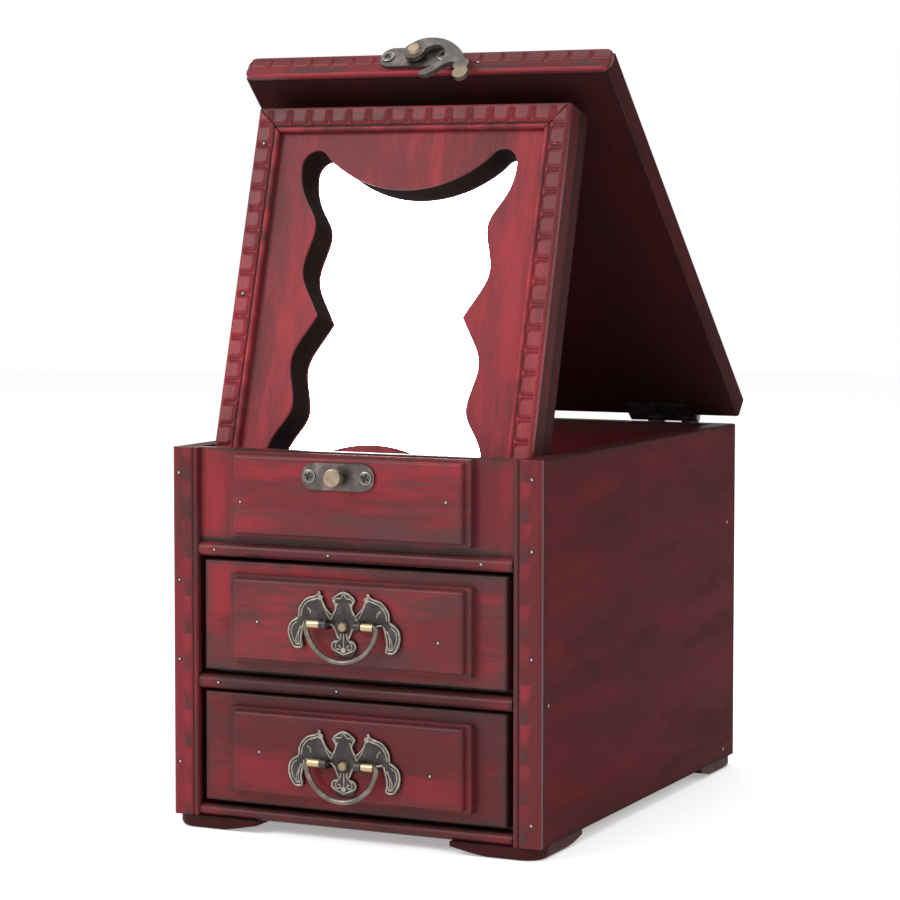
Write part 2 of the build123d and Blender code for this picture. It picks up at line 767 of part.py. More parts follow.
mirror_panel_leaf = hinge_leaf(
    panel_frame,
    knuckle_spans(mirror_hinge_width, mirror_hinge_knuckles, 1),
    mirror_hinge_width,
    mirror_knuckle_radius,
    mirror_pin_radius + pin_clearance,
    mirror_panel_arm,
    (-panel_top_gap - mirror_leaf_depth / 2, panel_back_z, mirror_leaf_depth, mirror_leaf_thickness),
)
pieces["mirror_hinge_panel_leaves"] = pair_of(mirror_panel_leaf, panel_frame, mirror_hinge_x)

with BuildPart() as lid_board:
    board_length = -lid_board_front - lid_rear_setback
    board_middle = -lid_rear_setback - board_length / 2
    with BuildSketch(lid_frame.offset(lid_under)):
        with Locations((lid_shift, board_middle)):
            Rectangle(lid_width, board_length)
    extrude(amount=lid_thickness)
    long_edges = lid_board.edges().filter_by(Axis((0, 0, 0), (0, cos(opening), -sin(opening))))
    fillet(long_edges, arris)
    rear_edges = lid_board.faces().sort_by(Axis.Y)[-1].edges().filter_by(Axis.X)
    fillet(rear_edges, arris)
    for fitting in ("lid_hinge_leaves", "mirror_hinge_lid_leaves", "hook_screws", "hook_rivet"):
        add(pieces[fitting].part, mode=Mode.SUBTRACT)
pieces["lid_board"] = lid_board


# ---- mirror panel ---------------------------------------------------------------------------
with BuildPart() as mirror_glass:
    with BuildSketch(panel_centre.offset(backing_thickness - glass_thickness)):
        Rectangle(glass_width, glass_height)
    extrude(amount=glass_thickness)
pieces["mirror_glass"] = mirror_glass

with BuildPart() as mirror_backing:
    with BuildSketch(panel_centre):
        Rectangle(panel_width, panel_height)
    extrude(amount=backing_thickness)
    with BuildSketch(panel_centre.offset(backing_thickness)):
        Rectangle(glass_width + 2 * glass_clearance, glass_height + 2 * glass_clearance)
    extrude(amount=-glass_thickness, mode=Mode.SUBTRACT)
    add(pieces["mirror_hinge_panel_leaves"].part, mode=Mode.SUBTRACT)
pieces["mirror_backing"] = mirror_backing


def mirror_opening():
    # A lobe between two ears, a waist, a shoulder and a cusp at mid-height, mirrored both ways.
    ear_x, ear_y = ear_centre
    bulge = (ear_x + ear_radius, ear_y)
    crown = (ear_x, ear_y + ear_radius)
    lobe_end_x = ear_x - ear_radius
    lobe_centre_y = lobe_bottom + lobe_radius
    lobe_end = (lobe_end_x, lobe_centre_y - (lobe_radius**2 - lobe_end_x**2) ** 0.5)
    lobe_middle_x = lobe_end_x / 2
    lobe_middle = (lobe_middle_x, lobe_centre_y - (lobe_radius**2 - lobe_middle_x**2) ** 0.5)
    slope = lobe_end_x / (lobe_centre_y - lobe_end[1])
    with BuildLine() as outline:
        ThreePointArc((0, lobe_bottom), lobe_middle, lobe_end)
        Spline(lobe_end, crown, tangents=((1, slope), (1, 0)))
        RadiusArc(crown, bulge, ear_radius)
        Spline(
            bulge,
            waist,
            shoulder,
            (cusp_x, 0),
            tangents=((0, -1), (-0.55, -1)),
        )
        mirror(about=Plane.XZ)
        mirror(about=Plane.YZ)
    return outline.edges()


front_board_plane = panel_centre.offset(backing_thickness)
with BuildPart() as mirror_front_board:
    with BuildSketch(front_board_plane):
        Rectangle(panel_width, panel_height)
        make_face(mirror_opening(), mode=Mode.SUBTRACT)
    extrude(amount=front_board_thickness)
pieces["mirror_front_board"] = mirror_front_board

trim_plane = front_board_plane.offset(front_board_thickness)


def trim_moulding(corners, along):
    # One mitred length: its long front edges are rounded.
    with BuildPart() as length:
        with BuildSketch(trim_plane):
            with BuildLine():
                Polyline(*corners, close=True)
            make_face()
        extrude(amount=trim_thickness)
        front_face = length.faces().sort_by(Axis((0, 0, 0), trim_plane.z_dir))[-1]
        fillet(front_face.edges().filter_by(Axis((0, 0, 0), along)), trim_round)
    return length


half_w, half_h = panel_width / 2, panel_height / 2
in_w, in_h = half_w - trim_width, half_h - trim_width
for name, end in (("top", 1), ("bottom", -1)):
    pieces[f"mirror_{name}_trim"] = trim_moulding(
        [(-half_w, end * half_h), (half_w, end * half_h), (in_w, end * in_h), (-in_w, end * in_h)],
        trim_plane.x_dir,
    )
for name, side in (("left", -1), ("right", 1)):
    pieces[f"mirror_{name}_trim"] = trim_moulding(
        [(side * half_w, -half_h), (side * half_w, half_h), (side * in_w, in_h), (side * in_w, -in_h)],
        trim_plane.y_dir,
    )

# ---- written out ------------------------------------------------------------------------------
os.makedirs("parts", exist_ok=True)
for name, piece in pieces.items():
    piece.part.label = name
    export_step(piece.part, f"parts/{name}.step")
print(len(pieces), "pieces")
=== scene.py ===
import math

import bpy
import numpy as np
from mathutils import Euler, Matrix, Vector


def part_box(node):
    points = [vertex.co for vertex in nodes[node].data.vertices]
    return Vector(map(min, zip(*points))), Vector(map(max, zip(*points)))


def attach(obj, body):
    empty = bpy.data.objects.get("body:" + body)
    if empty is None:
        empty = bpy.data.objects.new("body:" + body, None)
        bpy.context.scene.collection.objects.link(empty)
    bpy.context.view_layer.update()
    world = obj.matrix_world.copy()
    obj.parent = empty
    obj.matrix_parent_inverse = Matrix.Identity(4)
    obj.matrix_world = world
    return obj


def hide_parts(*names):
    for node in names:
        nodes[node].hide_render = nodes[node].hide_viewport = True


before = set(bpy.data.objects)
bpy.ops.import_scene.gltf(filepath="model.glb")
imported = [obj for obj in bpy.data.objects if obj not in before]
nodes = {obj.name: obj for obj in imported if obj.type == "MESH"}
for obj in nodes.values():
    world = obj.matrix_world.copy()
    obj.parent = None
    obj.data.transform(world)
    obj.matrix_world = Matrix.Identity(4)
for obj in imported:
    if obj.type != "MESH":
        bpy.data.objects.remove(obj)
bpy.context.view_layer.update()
mm = 0.001
print("frame loaded:", len(nodes), "nodes")

# The camera stands where the photograph was taken from.
view = {
    "place": (0.43877, -0.95956, 0.21285),
    "azimuth": 25.585,     # degrees round from the front
    "pitch": 3.577,        # degrees down
    "lens": 114.86,
    "sensorWidth": 36,
    "shift": (0.0389, -0.0556),
}

studio = {
    "floorColor": (0.93, 0.93, 0.93),
    "floorRadius": 3.0,
    "floorRoughness": 0.9,
    "floorShine": 0.1,
    "floorGlow": 0.35,
    "worldStrength": 0.62,
    "key": {"place": (-0.85, -1.15, 1.05), "size": 0.9, "power": 17.0},
    "fill": {"place": (1.15, -0.75, 0.75), "size": 1.0, "power": 5.0},
    "top": {"place": (0.0, 0.1, 1.35), "size": 1.1, "power": 7.0},
    "aim": (0.0, 0.0, 0.13),
}


# Node helpers.
def newMaterial(name):
    material = bpy.data.materials.new(name)
    material.use_nodes = True
    return material, material.node_tree, material.node_tree.nodes["Principled BSDF"]


def newGroup(name, inputs, outputs):
    group = bpy.data.node_groups.new(name, "ShaderNodeTree")
    for socketName, kind, value in inputs:
        socket = group.interface.new_socket(socketName, in_out="INPUT", socket_type=kind)
        if value is not None:
            socket.default_value = value
    for socketName, kind in outputs:
        group.interface.new_socket(socketName, in_out="OUTPUT", socket_type=kind)
    return group, group.nodes.new("NodeGroupInput"), group.nodes.new("NodeGroupOutput")


def plug(tree, socket, value):
    # Constants are set on the socket itself and everything else is linked to it.
    if isinstance(value, (int, float, tuple)):
        socket.default_value = value
    elif value is not None:
        tree.links.new(value, socket)


def mathNode(tree, operation, first, second=None, clamp=False):
    node = tree.nodes.new("ShaderNodeMath")
    node.operation = operation
    node.use_clamp = clamp
    plug(tree, node.inputs[0], first)
    plug(tree, node.inputs[1], second)
    return node.outputs[0]


def vectorNode(tree, operation, first, second):
    node = tree.nodes.new("ShaderNodeVectorMath")
    node.operation = operation
    plug(tree, node.inputs[0], first)
    plug(tree, node.inputs[1], second)
    return node.outputs[0]


def rangeNode(tree, value, low, high, toLow=0.0, toHigh=1.0):
    node = tree.nodes.new("ShaderNodeMapRange")
    node.interpolation_type = "SMOOTHSTEP"
    tree.links.new(value, node.inputs["Value"])
    for name, number in (("From Min", low), ("From Max", high), ("To Min", toLow), ("To Max", toHigh)):
        plug(tree, node.inputs[name], number)
    return node.outputs["Result"]


def noiseNode(tree, vector, scale, detail=3.0, roughness=0.55):
    node = tree.nodes.new("ShaderNodeTexNoise")
    tree.links.new(vector, node.inputs["Vector"])
    for name, number in (("Scale", scale), ("Detail", detail), ("Roughness", roughness)):
        node.inputs[name].default_value = number
    return node.outputs["Fac"]


def mixColor(tree, factor, first, second):
    node = tree.nodes.new("ShaderNodeMix")
    node.data_type = "RGBA"
    plug(tree, node.inputs[0], factor)
    for socket, value in ((node.inputs[6], first), (node.inputs[7], second)):
        plug(tree, socket, (*value, 1) if isinstance(value, tuple) else value)
    return node.outputs[2]


def axesOf(tree, vector):
    node = tree.nodes.new("ShaderNodeSeparateXYZ")
    tree.links.new(vector, node.inputs[0])
    return node.outputs


def attributeOf(tree, name):
    node = tree.nodes.new("ShaderNodeAttribute")
    node.attribute_name = name
    return node.outputs["Fac"]


# Mesh helpers: every new piece is a grid, a tube or a turned form computed as whole arrays.
def meshPiece(name, points, faces, smooth=True):
    mesh = bpy.data.meshes.new(name)
    mesh.from_pydata(np.asarray(points, float).tolist(), [], [list(map(int, f)) for f in faces])
    mesh.validate()
    if smooth:
        mesh.polygons.foreach_set("use_smooth", np.ones(len(mesh.polygons), bool))
    mesh.update()
    piece = bpy.data.objects.new(name, mesh)
    bpy.context.scene.collection.objects.link(piece)
    return piece


def gridFaces(rows, columns, closedColumns=False):
    # Quads of a rows x columns grid of points, wrapped across its columns where it is closed.
    lastColumn = columns if closedColumns else columns - 1
    r, c = np.meshgrid(np.arange(rows - 1), np.arange(lastColumn), indexing="ij")
    c2 = (c + 1) % columns
    corners = [r * columns + c, (r + 1) * columns + c, (r + 1) * columns + c2, r * columns + c2]
    return np.stack(corners, -1).reshape(-1, 4)


def setTone(piece, tone, name="tone"):
    # A value per point that the finishes read: 0 in the hollows, 1 on the rubbed high spots.
    attribute = piece.data.attributes.new(name, "FLOAT", "POINT")
    attribute.data.foreach_set("value", np.asarray(tone, np.float32).ravel())


skirtTone = 0.3        # brightness and smoke of a carved strip's sides


def reliefPiece(name, across, up, height, back, toModel, tone, smoky):
    # A strip with a carved face: height over a grid, with a skirt down to a flat back.
    rows, columns = across.shape
    index = np.arange(rows * columns).reshape(rows, columns)
    rim = np.concatenate([index[:, 0], index[-1, 1:], index[-2::-1, -1], index[0, -2:0:-1]])
    top = np.stack([across, up, height], -1).reshape(-1, 3)
    skirt = top[rim].copy()
    skirt[:, 2] = back
    low = rows * columns + np.arange(len(rim))
    walls = np.stack([low, np.roll(low, -1), np.roll(rim, -1), rim], -1)
    faces = np.vstack([gridFaces(rows, columns), walls]).tolist() + [low[::-1].tolist()]
    piece = meshPiece(name, toModel(np.vstack([top, skirt])), faces)
    carved = np.arange(len(piece.data.polygons)) < (rows - 1) * (columns - 1)
    piece.data.polygons.foreach_set("use_smooth", carved)
    for attribute, values in (("tone", tone), ("smoky", smoky)):
        setTone(piece, np.concatenate([np.ravel(values), np.full(len(rim), skirtTone)]), attribute)
    return piece


def finishPiece(piece, material, body, replaced=()):
    piece.data.materials.append(material)
    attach(piece, body)
    if replaced:
        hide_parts(*replaced)
    return piece


def gather(parts):
    # Several point and face sets as one, each part's faces counted on from the last.
    starts = np.cumsum([0] + [len(points) for points, _ in parts])
    faces = [[v + int(start) for v in face] for start, (_, own) in zip(starts, parts) for face in own]
    return np.vstack([points for points, _ in parts]), faces


def tube(path, radius, outward, sides=8):
    # A rod along a path: a ring of points round each of its points, with closed ends.
    along = np.gradient(path, axis=0)
    along /= np.linalg.norm(along, axis=1, keepdims=True)
    side = np.cross(along, outward)
    side /= np.linalg.norm(side, axis=1, keepdims=True)
    lift = np.cross(side, along)
    angle = np.linspace(0, 2 * np.pi, sides, endpoint=False)[None, :, None]
    rings = path[:, None] + radius * (np.cos(angle) * side[:, None] + np.sin(angle) * lift[:, None])
    count = len(path) * sides
    ends = [list(range(sides)), list(range(count - 1, count - sides - 1, -1))]
    return rings.reshape(-1, 3), gridFaces(len(path), sides, closedColumns=True).tolist() + ends


def smoothPath(points, samples):
    # Catmull-Rom: between two points the path is a cubic whose end slopes
    # are half the step from the point before to the point after.
    points = np.asarray(points, float)
    ends = np.vstack([2 * points[0] - points[1], points, 2 * points[-1] - points[-2]])
    a, b, c, d = (q[:, None, :] for q in (ends[:-3], ends[1:-2], ends[2:-1], ends[3:]))
    t = np.linspace(0, 1, samples, endpoint=False)[None, :, None]
    path = 0.5 * (2 * b + (c - a) * t + (2 * a - 5 * b + 4 * c - d) * t**2
                  + (3 * b - a - 3 * c + d) * t**3)
    return np.vstack([path.reshape(-1, points.shape[1]), points[-1]])


def smoothStep(value, low, high):
    t = np.clip((value - low) / (high - low), 0, 1)
    return t * t * (3 - 2 * t)


def groove(distance, width):
    # A soft line: 1 on it, and e to the minus square of the distance in widths beside it.
    return np.exp(-(distance / width) ** 2)


def rounded(distance, radius):
    # The drop of a quarter-round edge at a distance from it.
    inside = np.clip(radius - distance, 0, radius)
    return radius - np.sqrt(np.maximum(radius**2 - inside**2, 0))


def hashNoise(seed, shape):
    return np.random.default_rng(seed).random(shape)


latticeSize = 64


def softNoise(u, v, seed):
    # Value noise: random values on a whole-number lattice, eased between its points.
    table = hashNoise(seed, (latticeSize, latticeSize))
    iu, iv = np.floor(u).astype(int), np.floor(v).astype(int)
    fu, fv = smoothStep(u - iu, 0, 1), smoothStep(v - iv, 0, 1)
    pick = lambda a, b: table[a % latticeSize, b % latticeSize]
    low = pick(iu, iv) * (1 - fu) + pick(iu + 1, iv) * fu
    high = pick(iu, iv + 1) * (1 - fu) + pick(iu + 1, iv + 1) * fu
    return low * (1 - fv) + high * fv


# The camera and the studio.
def makeCamera():
    camera = bpy.data.objects.new("camera", bpy.data.cameras.new("camera"))
    bpy.context.scene.collection.objects.link(camera)
    camera.location = view["place"]
    turn = (math.radians(90 - view["pitch"]), 0, math.radians(view["azimuth"]))
    camera.rotation_euler = Euler(turn)
    camera.data.lens = view["lens"]
    camera.data.sensor_width = view["sensorWidth"]
    camera.data.shift_x, camera.data.shift_y = view["shift"]
    bpy.context.scene.camera = camera


def makeLamp(name, lamp):
    light = bpy.data.lights.new(name, "AREA")
    light.shape = "DISK"
    light.size = lamp["size"]
    light.energy = lamp["power"]
    lampObject = bpy.data.objects.new(name, light)
    bpy.context.scene.collection.objects.link(lampObject)
    lampObject.location = lamp["place"]
    aim = Vector(studio["aim"]) - Vector(lamp["place"])
    lampObject.rotation_euler = aim.to_track_quat("-Z", "Y").to_euler()


def makeWorld():
    # Camera, glossy and transmission rays see plain white, and the object a plain level.
    world = bpy.data.worlds.new("studio")
    bpy.context.scene.world = world
    world.use_nodes = True
    tree = world.node_tree
    rays = tree.nodes.new("ShaderNodeLightPath").outputs
    seen = mathNode(tree, "MAXIMUM", rays["Is Camera Ray"], rays["Is Glossy Ray"])
    seen = mathNode(tree, "MAXIMUM", seen, rays["Is Transmission Ray"])
    strength = tree.nodes.new("ShaderNodeMapRange")
    strength.inputs["To Min"].default_value = studio["worldStrength"]
    strength.inputs["To Max"].default_value = 1.0
    tree.links.new(seen, strength.inputs["Value"])
    background = tree.nodes["Background"]
    background.inputs["Color"].default_value = (1, 1, 1, 1)
    tree.links.new(strength.outputs["Result"], background.inputs["Strength"])


def makeFloor(sides=64):
    # A disc: one face round a circle of points.
    angles = np.linspace(0, 2 * np.pi, sides, endpoint=False)
    rim = np.column_stack([np.cos(angles), np.sin(angles), np.zeros_like(angles)])
    floor = meshPiece("floor", rim * studio["floorRadius"], [list(range(sides))], smooth=False)
    material, _, shader = newMaterial("floorPaper")
    shader.inputs["Base Color"].default_value = (*studio["floorColor"], 1)
    shader.inputs["Roughness"].default_value = studio["floorRoughness"]
    shader.inputs["Specular IOR Level"].default_value = studio["floorShine"]
    shader.inputs["Emission Color"].default_value = (1, 1, 1, 1)
    shader.inputs["Emission Strength"].default_value = studio["floorGlow"]
    floor.data.materials.append(material)


makeCamera()
makeWorld()
for lampName in ("key", "fill", "top"):
    makeLamp(lampName, studio[lampName])
makeFloor()
bpy.context.scene.view_settings.view_transform = "Standard"
print("camera and studio ready")


# Shader groups shared by the lacquered boards.
def makeEdgeGroup():
    # The distance to the nearest edge of a board: the second smallest of the
    # distances to its three pairs of faces. The mask is 1 on the edge itself.
    group, given, out = newGroup("boardEdges", [
        ("Vector", "NodeSocketVector", None),
        ("Low", "NodeSocketVector", (0, 0, 0)),
        ("High", "NodeSocketVector", (1, 1, 1)),
        ("Width", "NodeSocketFloat", 0.002),
    ], [("Mask", "NodeSocketFloat")])
    fromLow = vectorNode(group, "SUBTRACT", given.outputs["Vector"], given.outputs["Low"])
    fromHigh = vectorNode(group, "SUBTRACT", given.outputs["High"], given.outputs["Vector"])
    x, y, z = axesOf(group, vectorNode(group, "MINIMUM", fromLow, fromHigh))
    smaller = mathNode(group, "MINIMUM", x, y)
    larger = mathNode(group, "MAXIMUM", x, y)
    second = mathNode(group, "MAXIMUM", smaller, mathNode(group, "MINIMUM", larger, z))
    ragged = noiseNode(group, given.outputs["Vector"], 130.0, 5.0, 0.65)
    fray = mathNode(group, "MULTIPLY", mathNode(group, "SUBTRACT", ragged, 0.5), given.outputs["Width"])
    frayed = mathNode(group, "ADD", second, mathNode(group, "MULTIPLY", fray, 2.2))
    mask = rangeNode(group, frayed, 0.0, given.outputs["Width"], 1.0, 0.0)
    group.links.new(mask, out.inputs["Mask"])
    return group


def makePatinaGroup():
    # Three masks over a lacquered board: bright rubbed red, smoky brown clouds, and fine grain.
    group, given, out = newGroup("rubbedLacquer", [
        ("Vector", "NodeSocketVector", None),
        ("Stretch", "NodeSocketVector", (1, 1, 1)),
        ("Offset", "NodeSocketVector", (0, 0, 0)),
    ], [("Rubbed", "NodeSocketFloat"), ("Smoke", "NodeSocketFloat"), ("Grain", "NodeSocketFloat")])
    moved = vectorNode(group, "ADD", given.outputs["Vector"], given.outputs["Offset"])
    along = vectorNode(group, "MULTIPLY", moved, given.outputs["Stretch"])
    streaks = vectorNode(group, "MULTIPLY", along, given.outputs["Stretch"])
    fine = noiseNode(group, streaks, 620.0, 3.0, 0.65)
    streaky = mathNode(group, "MULTIPLY", mathNode(group, "SUBTRACT", fine, 0.5), 0.13)
    clouds = mathNode(group, "ADD", noiseNode(group, along, 34.0, 6.0, 0.62), streaky)
    far = vectorNode(group, "ADD", along, (3.1, 1.7, 0.4))
    patches = mathNode(group, "SUBTRACT", noiseNode(group, far, 27.0, 6.0, 0.62), streaky)
    group.links.new(rangeNode(group, patches, 0.42, 0.62), out.inputs["Rubbed"])
    group.links.new(rangeNode(group, clouds, 0.48, 0.63), out.inputs["Smoke"])
    group.links.new(fine, out.inputs["Grain"])
    return group


edgeGroup = makeEdgeGroup()
patinaGroup = makePatinaGroup()

lacquerColors = {
    "deep": (0.118, 0.017, 0.021),
    "bright": (0.265, 0.022, 0.030),
    "smoke": (0.066, 0.030, 0.030),
    "edge": (0.036, 0.022, 0.020),
    # the colour that painted shade darkens a board towards, and of the carvings' low parts
    "dark": (0.014, 0.0035, 0.004),
    "bead": (0.340, 0.030, 0.044),
    # the colour of painted shadow
    "paintedShadow": (0.012, 0.005, 0.005),
}
grainStretch = {"x": (0.32, 1.5, 1.5), "y": (1.5, 0.32, 1.5), "z": (1.5, 1.5, 0.32)}
borderWidth = 6.5      # the brown glaze gathers in a ragged border along a board's edges


def pieceCoordinates(tree, own):
    # Object coordinates, turned about X into a slanted board's own frame.
    coordinates = tree.nodes.new("ShaderNodeTexCoord").outputs["Object"]
    if own is None:
        return coordinates
    turn = tree.nodes.new("ShaderNodeMapping")
    turn.inputs["Rotation"].default_value = (-own["tilt"], 0, 0)
    tree.links.new(vectorNode(tree, "SUBTRACT", coordinates, tuple(own["origin"])), turn.inputs["Vector"])
    return turn.outputs["Vector"]


def edgeMask(tree, place, low, high, width):
    node = tree.nodes.new("ShaderNodeGroup")
    node.node_tree = edgeGroup
    tree.links.new(place, node.inputs["Vector"])
    for name, value in (("Low", low), ("High", high), ("Width", width * mm)):
        node.inputs[name].default_value = value
    return node.outputs["Mask"]


def lacquer(name, low, high, grain="x", own=None, paintedShade=0.0, rubbed=0.8, smoke=0.6, shine=0.14,
            edgeWidth=1.5, edgeAmount=0.85, carved=False, paintedShadow=None, accent=None):
    # Red lacquer rubbed through over dark brown. low and high are the board's corners in its own
    # frame. The shade amount darkens the whole board as painted shade, and two masks give painted
    # shadow, nearly black, and what is rubbed bright.
    material, tree, shader = newMaterial(name)
    scaled = lambda mask, amount: mathNode(tree, "MULTIPLY", mask, amount)
    place = pieceCoordinates(tree, own)
    node = tree.nodes.new("ShaderNodeGroup")
    node.node_tree = patinaGroup
    tree.links.new(place, node.inputs["Vector"])
    node.inputs["Stretch"].default_value = grainStretch[grain]
    node.inputs["Offset"].default_value = tuple(hashNoise(sum(map(ord, name)), 3) * 4)
    patina = node.outputs
    c = lacquerColors
    color = mixColor(tree, scaled(patina["Rubbed"], rubbed), c["deep"], c["bright"])
    color = mixColor(tree, scaled(patina["Smoke"], smoke), color, c["smoke"])
    if carved:
        height = attributeOf(tree, "tone")
        color = mixColor(tree, scaled(attributeOf(tree, "smoky"), 0.8), color, c["smoke"])
        color = mixColor(tree, scaled(rangeNode(tree, height, 0.55, 1.0), 0.8), color, c["bead"])
        color = mixColor(tree, scaled(rangeNode(tree, height, 0.05, 0.45, 1.0, 0.0), 0.85), color, c["dark"])
    else:
        border = edgeMask(tree, place, low, high, borderWidth)
        color = mixColor(tree, scaled(border, 0.75 * smoke), color, c["smoke"])
    if accent:
        color = mixColor(tree, accent(tree, place), color, c["bead"])
    edges = edgeMask(tree, place, low, high, edgeWidth)
    color = mixColor(tree, scaled(edges, edgeAmount), color, c["edge"])
    # Painted shade: the whole board is darkened towards the dark colour by the shade amount.
    if paintedShade:
        color = mixColor(tree, paintedShade, color, c["dark"])
    gloss = rangeNode(tree, patina["Smoke"], 0.0, 1.0, 0.34, 0.46)
    # Painted shadow: nearly black and matte where the mask says shade falls.
    if paintedShadow:
        mask = paintedShadow(tree, place)
        color = mixColor(tree, mask, color, c["paintedShadow"])
        gloss = mathNode(tree, "MAXIMUM", gloss, mask)
    color = mixColor(tree, rangeNode(tree, patina["Grain"], 0.52, 0.75, 0.0, 0.22), color, c["edge"])
    bump = tree.nodes.new("ShaderNodeBump")
    bump.inputs["Strength"].default_value = 0.12
    bump.inputs["Distance"].default_value = 0.0003
    tree.links.new(patina["Grain"], bump.inputs["Height"])
    tree.links.new(color, shader.inputs["Base Color"])
    tree.links.new(gloss, shader.inputs["Roughness"])
    tree.links.new(bump.outputs["Normal"], shader.inputs["Normal"])
    shader.inputs["Specular IOR Level"].default_value = shine
    return material


bronze = {"dark": (0.085, 0.073, 0.070), "light": (0.25, 0.215, 0.19)}
brass = (0.43, 0.33, 0.19)


def metal(name, dark, light, roughness=0.38, carved=False, brassBand=None):
    # Cast metal with a dark patina that is rubbed bright on the high spots.
    material, tree, shader = newMaterial(name)
    place = tree.nodes.new("ShaderNodeTexCoord").outputs["Object"]
    mottle = noiseNode(tree, place, 260.0, 4.0, 0.6)
    rubbed = rangeNode(tree, mottle, 0.42, 0.72, 0.0, 0.55)
    if carved:
        high = rangeNode(tree, attributeOf(tree, "tone"), 0.35, 0.95)
        rubbed = mathNode(tree, "ADD", mathNode(tree, "MULTIPLY", rubbed, 0.35), high, clamp=True)
    color = mixColor(tree, rubbed, dark, light)
    if brassBand:
        color = mixColor(tree, brassBand(tree, place), color, brass)
    uneven = rangeNode(tree, mottle, 0.3, 0.7, roughness - 0.06, roughness + 0.1)
    tree.links.new(color, shader.inputs["Base Color"])
    tree.links.new(uneven, shader.inputs["Roughness"])
    shader.inputs["Metallic"].default_value = 0.9
    return material


def dress(nodeName, material):
    node = nodes[nodeName]
    node.data.materials.clear()
    node.data.materials.append(material)


print("shader groups ready")

# The lid's and the mirror panel's own frames: x across, y towards their upper end, z out of the face.
lidFrame = {"origin": Vector((0, 0.0990, 0.13635)), "tilt": math.radians(-42.9)}
panelFrame = {"origin": Vector((-0.0008, -0.0493877, 0.1757386)), "tilt": math.radians(90 - 15.9935)}


def frameAxes(own):
    # Rows are the frame's x, y and z directions: a turn about X by the tilt.
    turn = Matrix.Rotation(own["tilt"], 3, "X")
    return np.stack([np.array(turn.col[i]) for i in range(3)])


def placed(local, own):
    # Local millimetres to metres in the model's frame.
    return np.array(own["origin"]) + (np.asarray(local) * mm) @ frameAxes(own)


def frameCorners(nodeName, own):
    # The node's lowest and highest corners in a slanted frame.
    mesh = nodes[nodeName].data
    points = np.empty(len(mesh.vertices) * 3, np.float32)
    mesh.vertices.foreach_get("co", points)
    local = (points.reshape(-1, 3) - np.array(own["origin"])) @ frameAxes(own).T
    return tuple(local.min(0).tolist()), tuple(local.max(0).tolist())


def facingFront(points):
    # Across, up and out of the front, as x, z and minus y.
    return np.column_stack([points[:, 0], -points[:, 2], points[:, 1]])


# Case boards, drawers and feet keep their shapes and get the lacquer.
# Grain direction, how far the board is darkened with painted shade, and how much is rubbed bright and smoky.
caseBoards = {
    "left_side_panel": ("z", 0.35, 0.3, 0.5),
    "right_side_panel": ("y", 0.55, 0.35, 0.45),
    "back_panel": ("x", 0.4, 0.3, 0.5),
    "bottom_board": ("x", 0.5, 0.2, 0.5),
    "drawer_divider": ("x", 0.5, 0.3, 0.5),
    "tray_floor": ("x", 0.5, 0.3, 0.5),
    "false_front": ("z", 0.05, 0.8, 0.6),
    "false_front_panel": ("x", 0.0, 0.8, 0.7),
    "tray_bead": ("x", 0.35, 0.4, 0.6),
    "middle_bead": ("x", 0.5, 0.3, 0.6),
    "base_bead": ("x", 0.4, 0.4, 0.6),
    "front_left_foot": ("x", 0.7, 0.3, 0.6),
    "front_right_foot": ("x", 0.7, 0.3, 0.6),
    "rear_left_foot": ("x", 0.7, 0.3, 0.6),
    "rear_right_foot": ("x", 0.7, 0.3, 0.6),
    "drawer_guides": ("y", 0.6, 0.1, 0.3),
}
# The lower drawer is darkened with more painted shade than the upper one, and the drawers' inner boards are
# darkened with painted shade too.
for level, paintedShade in (("upper", 0.07), ("lower", 0.34)):
    caseBoards[f"{level}_drawer_front"] = ("x", paintedShade, 0.9, 0.7)
    caseBoards[f"{level}_drawer_panel"] = ("x", paintedShade, 0.85, 0.7)
    for board in ("left_side", "right_side", "back", "bottom"):
        caseBoards[f"{level}_drawer_{board}"] = ("y", 0.55, 0.2, 0.4)

# The large boards and the feet mirror little of the white studio.
boardShine = {"large": 0.005, "foot": 0.03, "front": 0.14, "slanted": 0.02, "mirrorFront": 0.08}
largeBoards = {"right_side_panel", "left_side_panel", "back_panel", "bottom_board"}


def brightEnds(tree, place):
    # The beads are rubbed bright towards their ends.
    x, _, _ = axesOf(tree, place)
    ragged = mathNode(tree, "MULTIPLY", noiseNode(tree, place, 160.0), 0.9)
    ends = rangeNode(tree, mathNode(tree, "ABSOLUTE", x), 46 * mm, 57 * mm)
    return mathNode(tree, "MULTIPLY", ends, ragged)


for nodeName, (grain, paintedShade, rubbed, smoke) in caseBoards.items():
    low, high = map(tuple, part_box(nodeName))
    kind = "large" if nodeName in largeBoards else "foot" if nodeName.endswith("_foot") else "front"
    accent = brightEnds if nodeName.endswith("_bead") else None
    dress(nodeName, lacquer("lacquer_" + nodeName, low, high, grain, paintedShade=paintedShade, rubbed=rubbed,
                            smoke=smoke, shine=boardShine[kind], accent=accent))
print("case boards finished:", len(caseBoards))

# Slanted boards read their own frame, in which these bands of painted shade and shadow lie.
panelShade = {"wall": (12.6, 13.4), "reach": (50, 52), "side": (60.2, 60.5)}
lidShade = {"under": (-1.95, -1.7), "front": (150, 188), "middle": 1.8, "side": (70.6, 70.9)}


def bandNode(tree, value, limits, toLow=0.0, toHigh=1.0):
    return rangeNode(tree, value, limits[0] * mm, limits[1] * mm, toLow, toHigh)


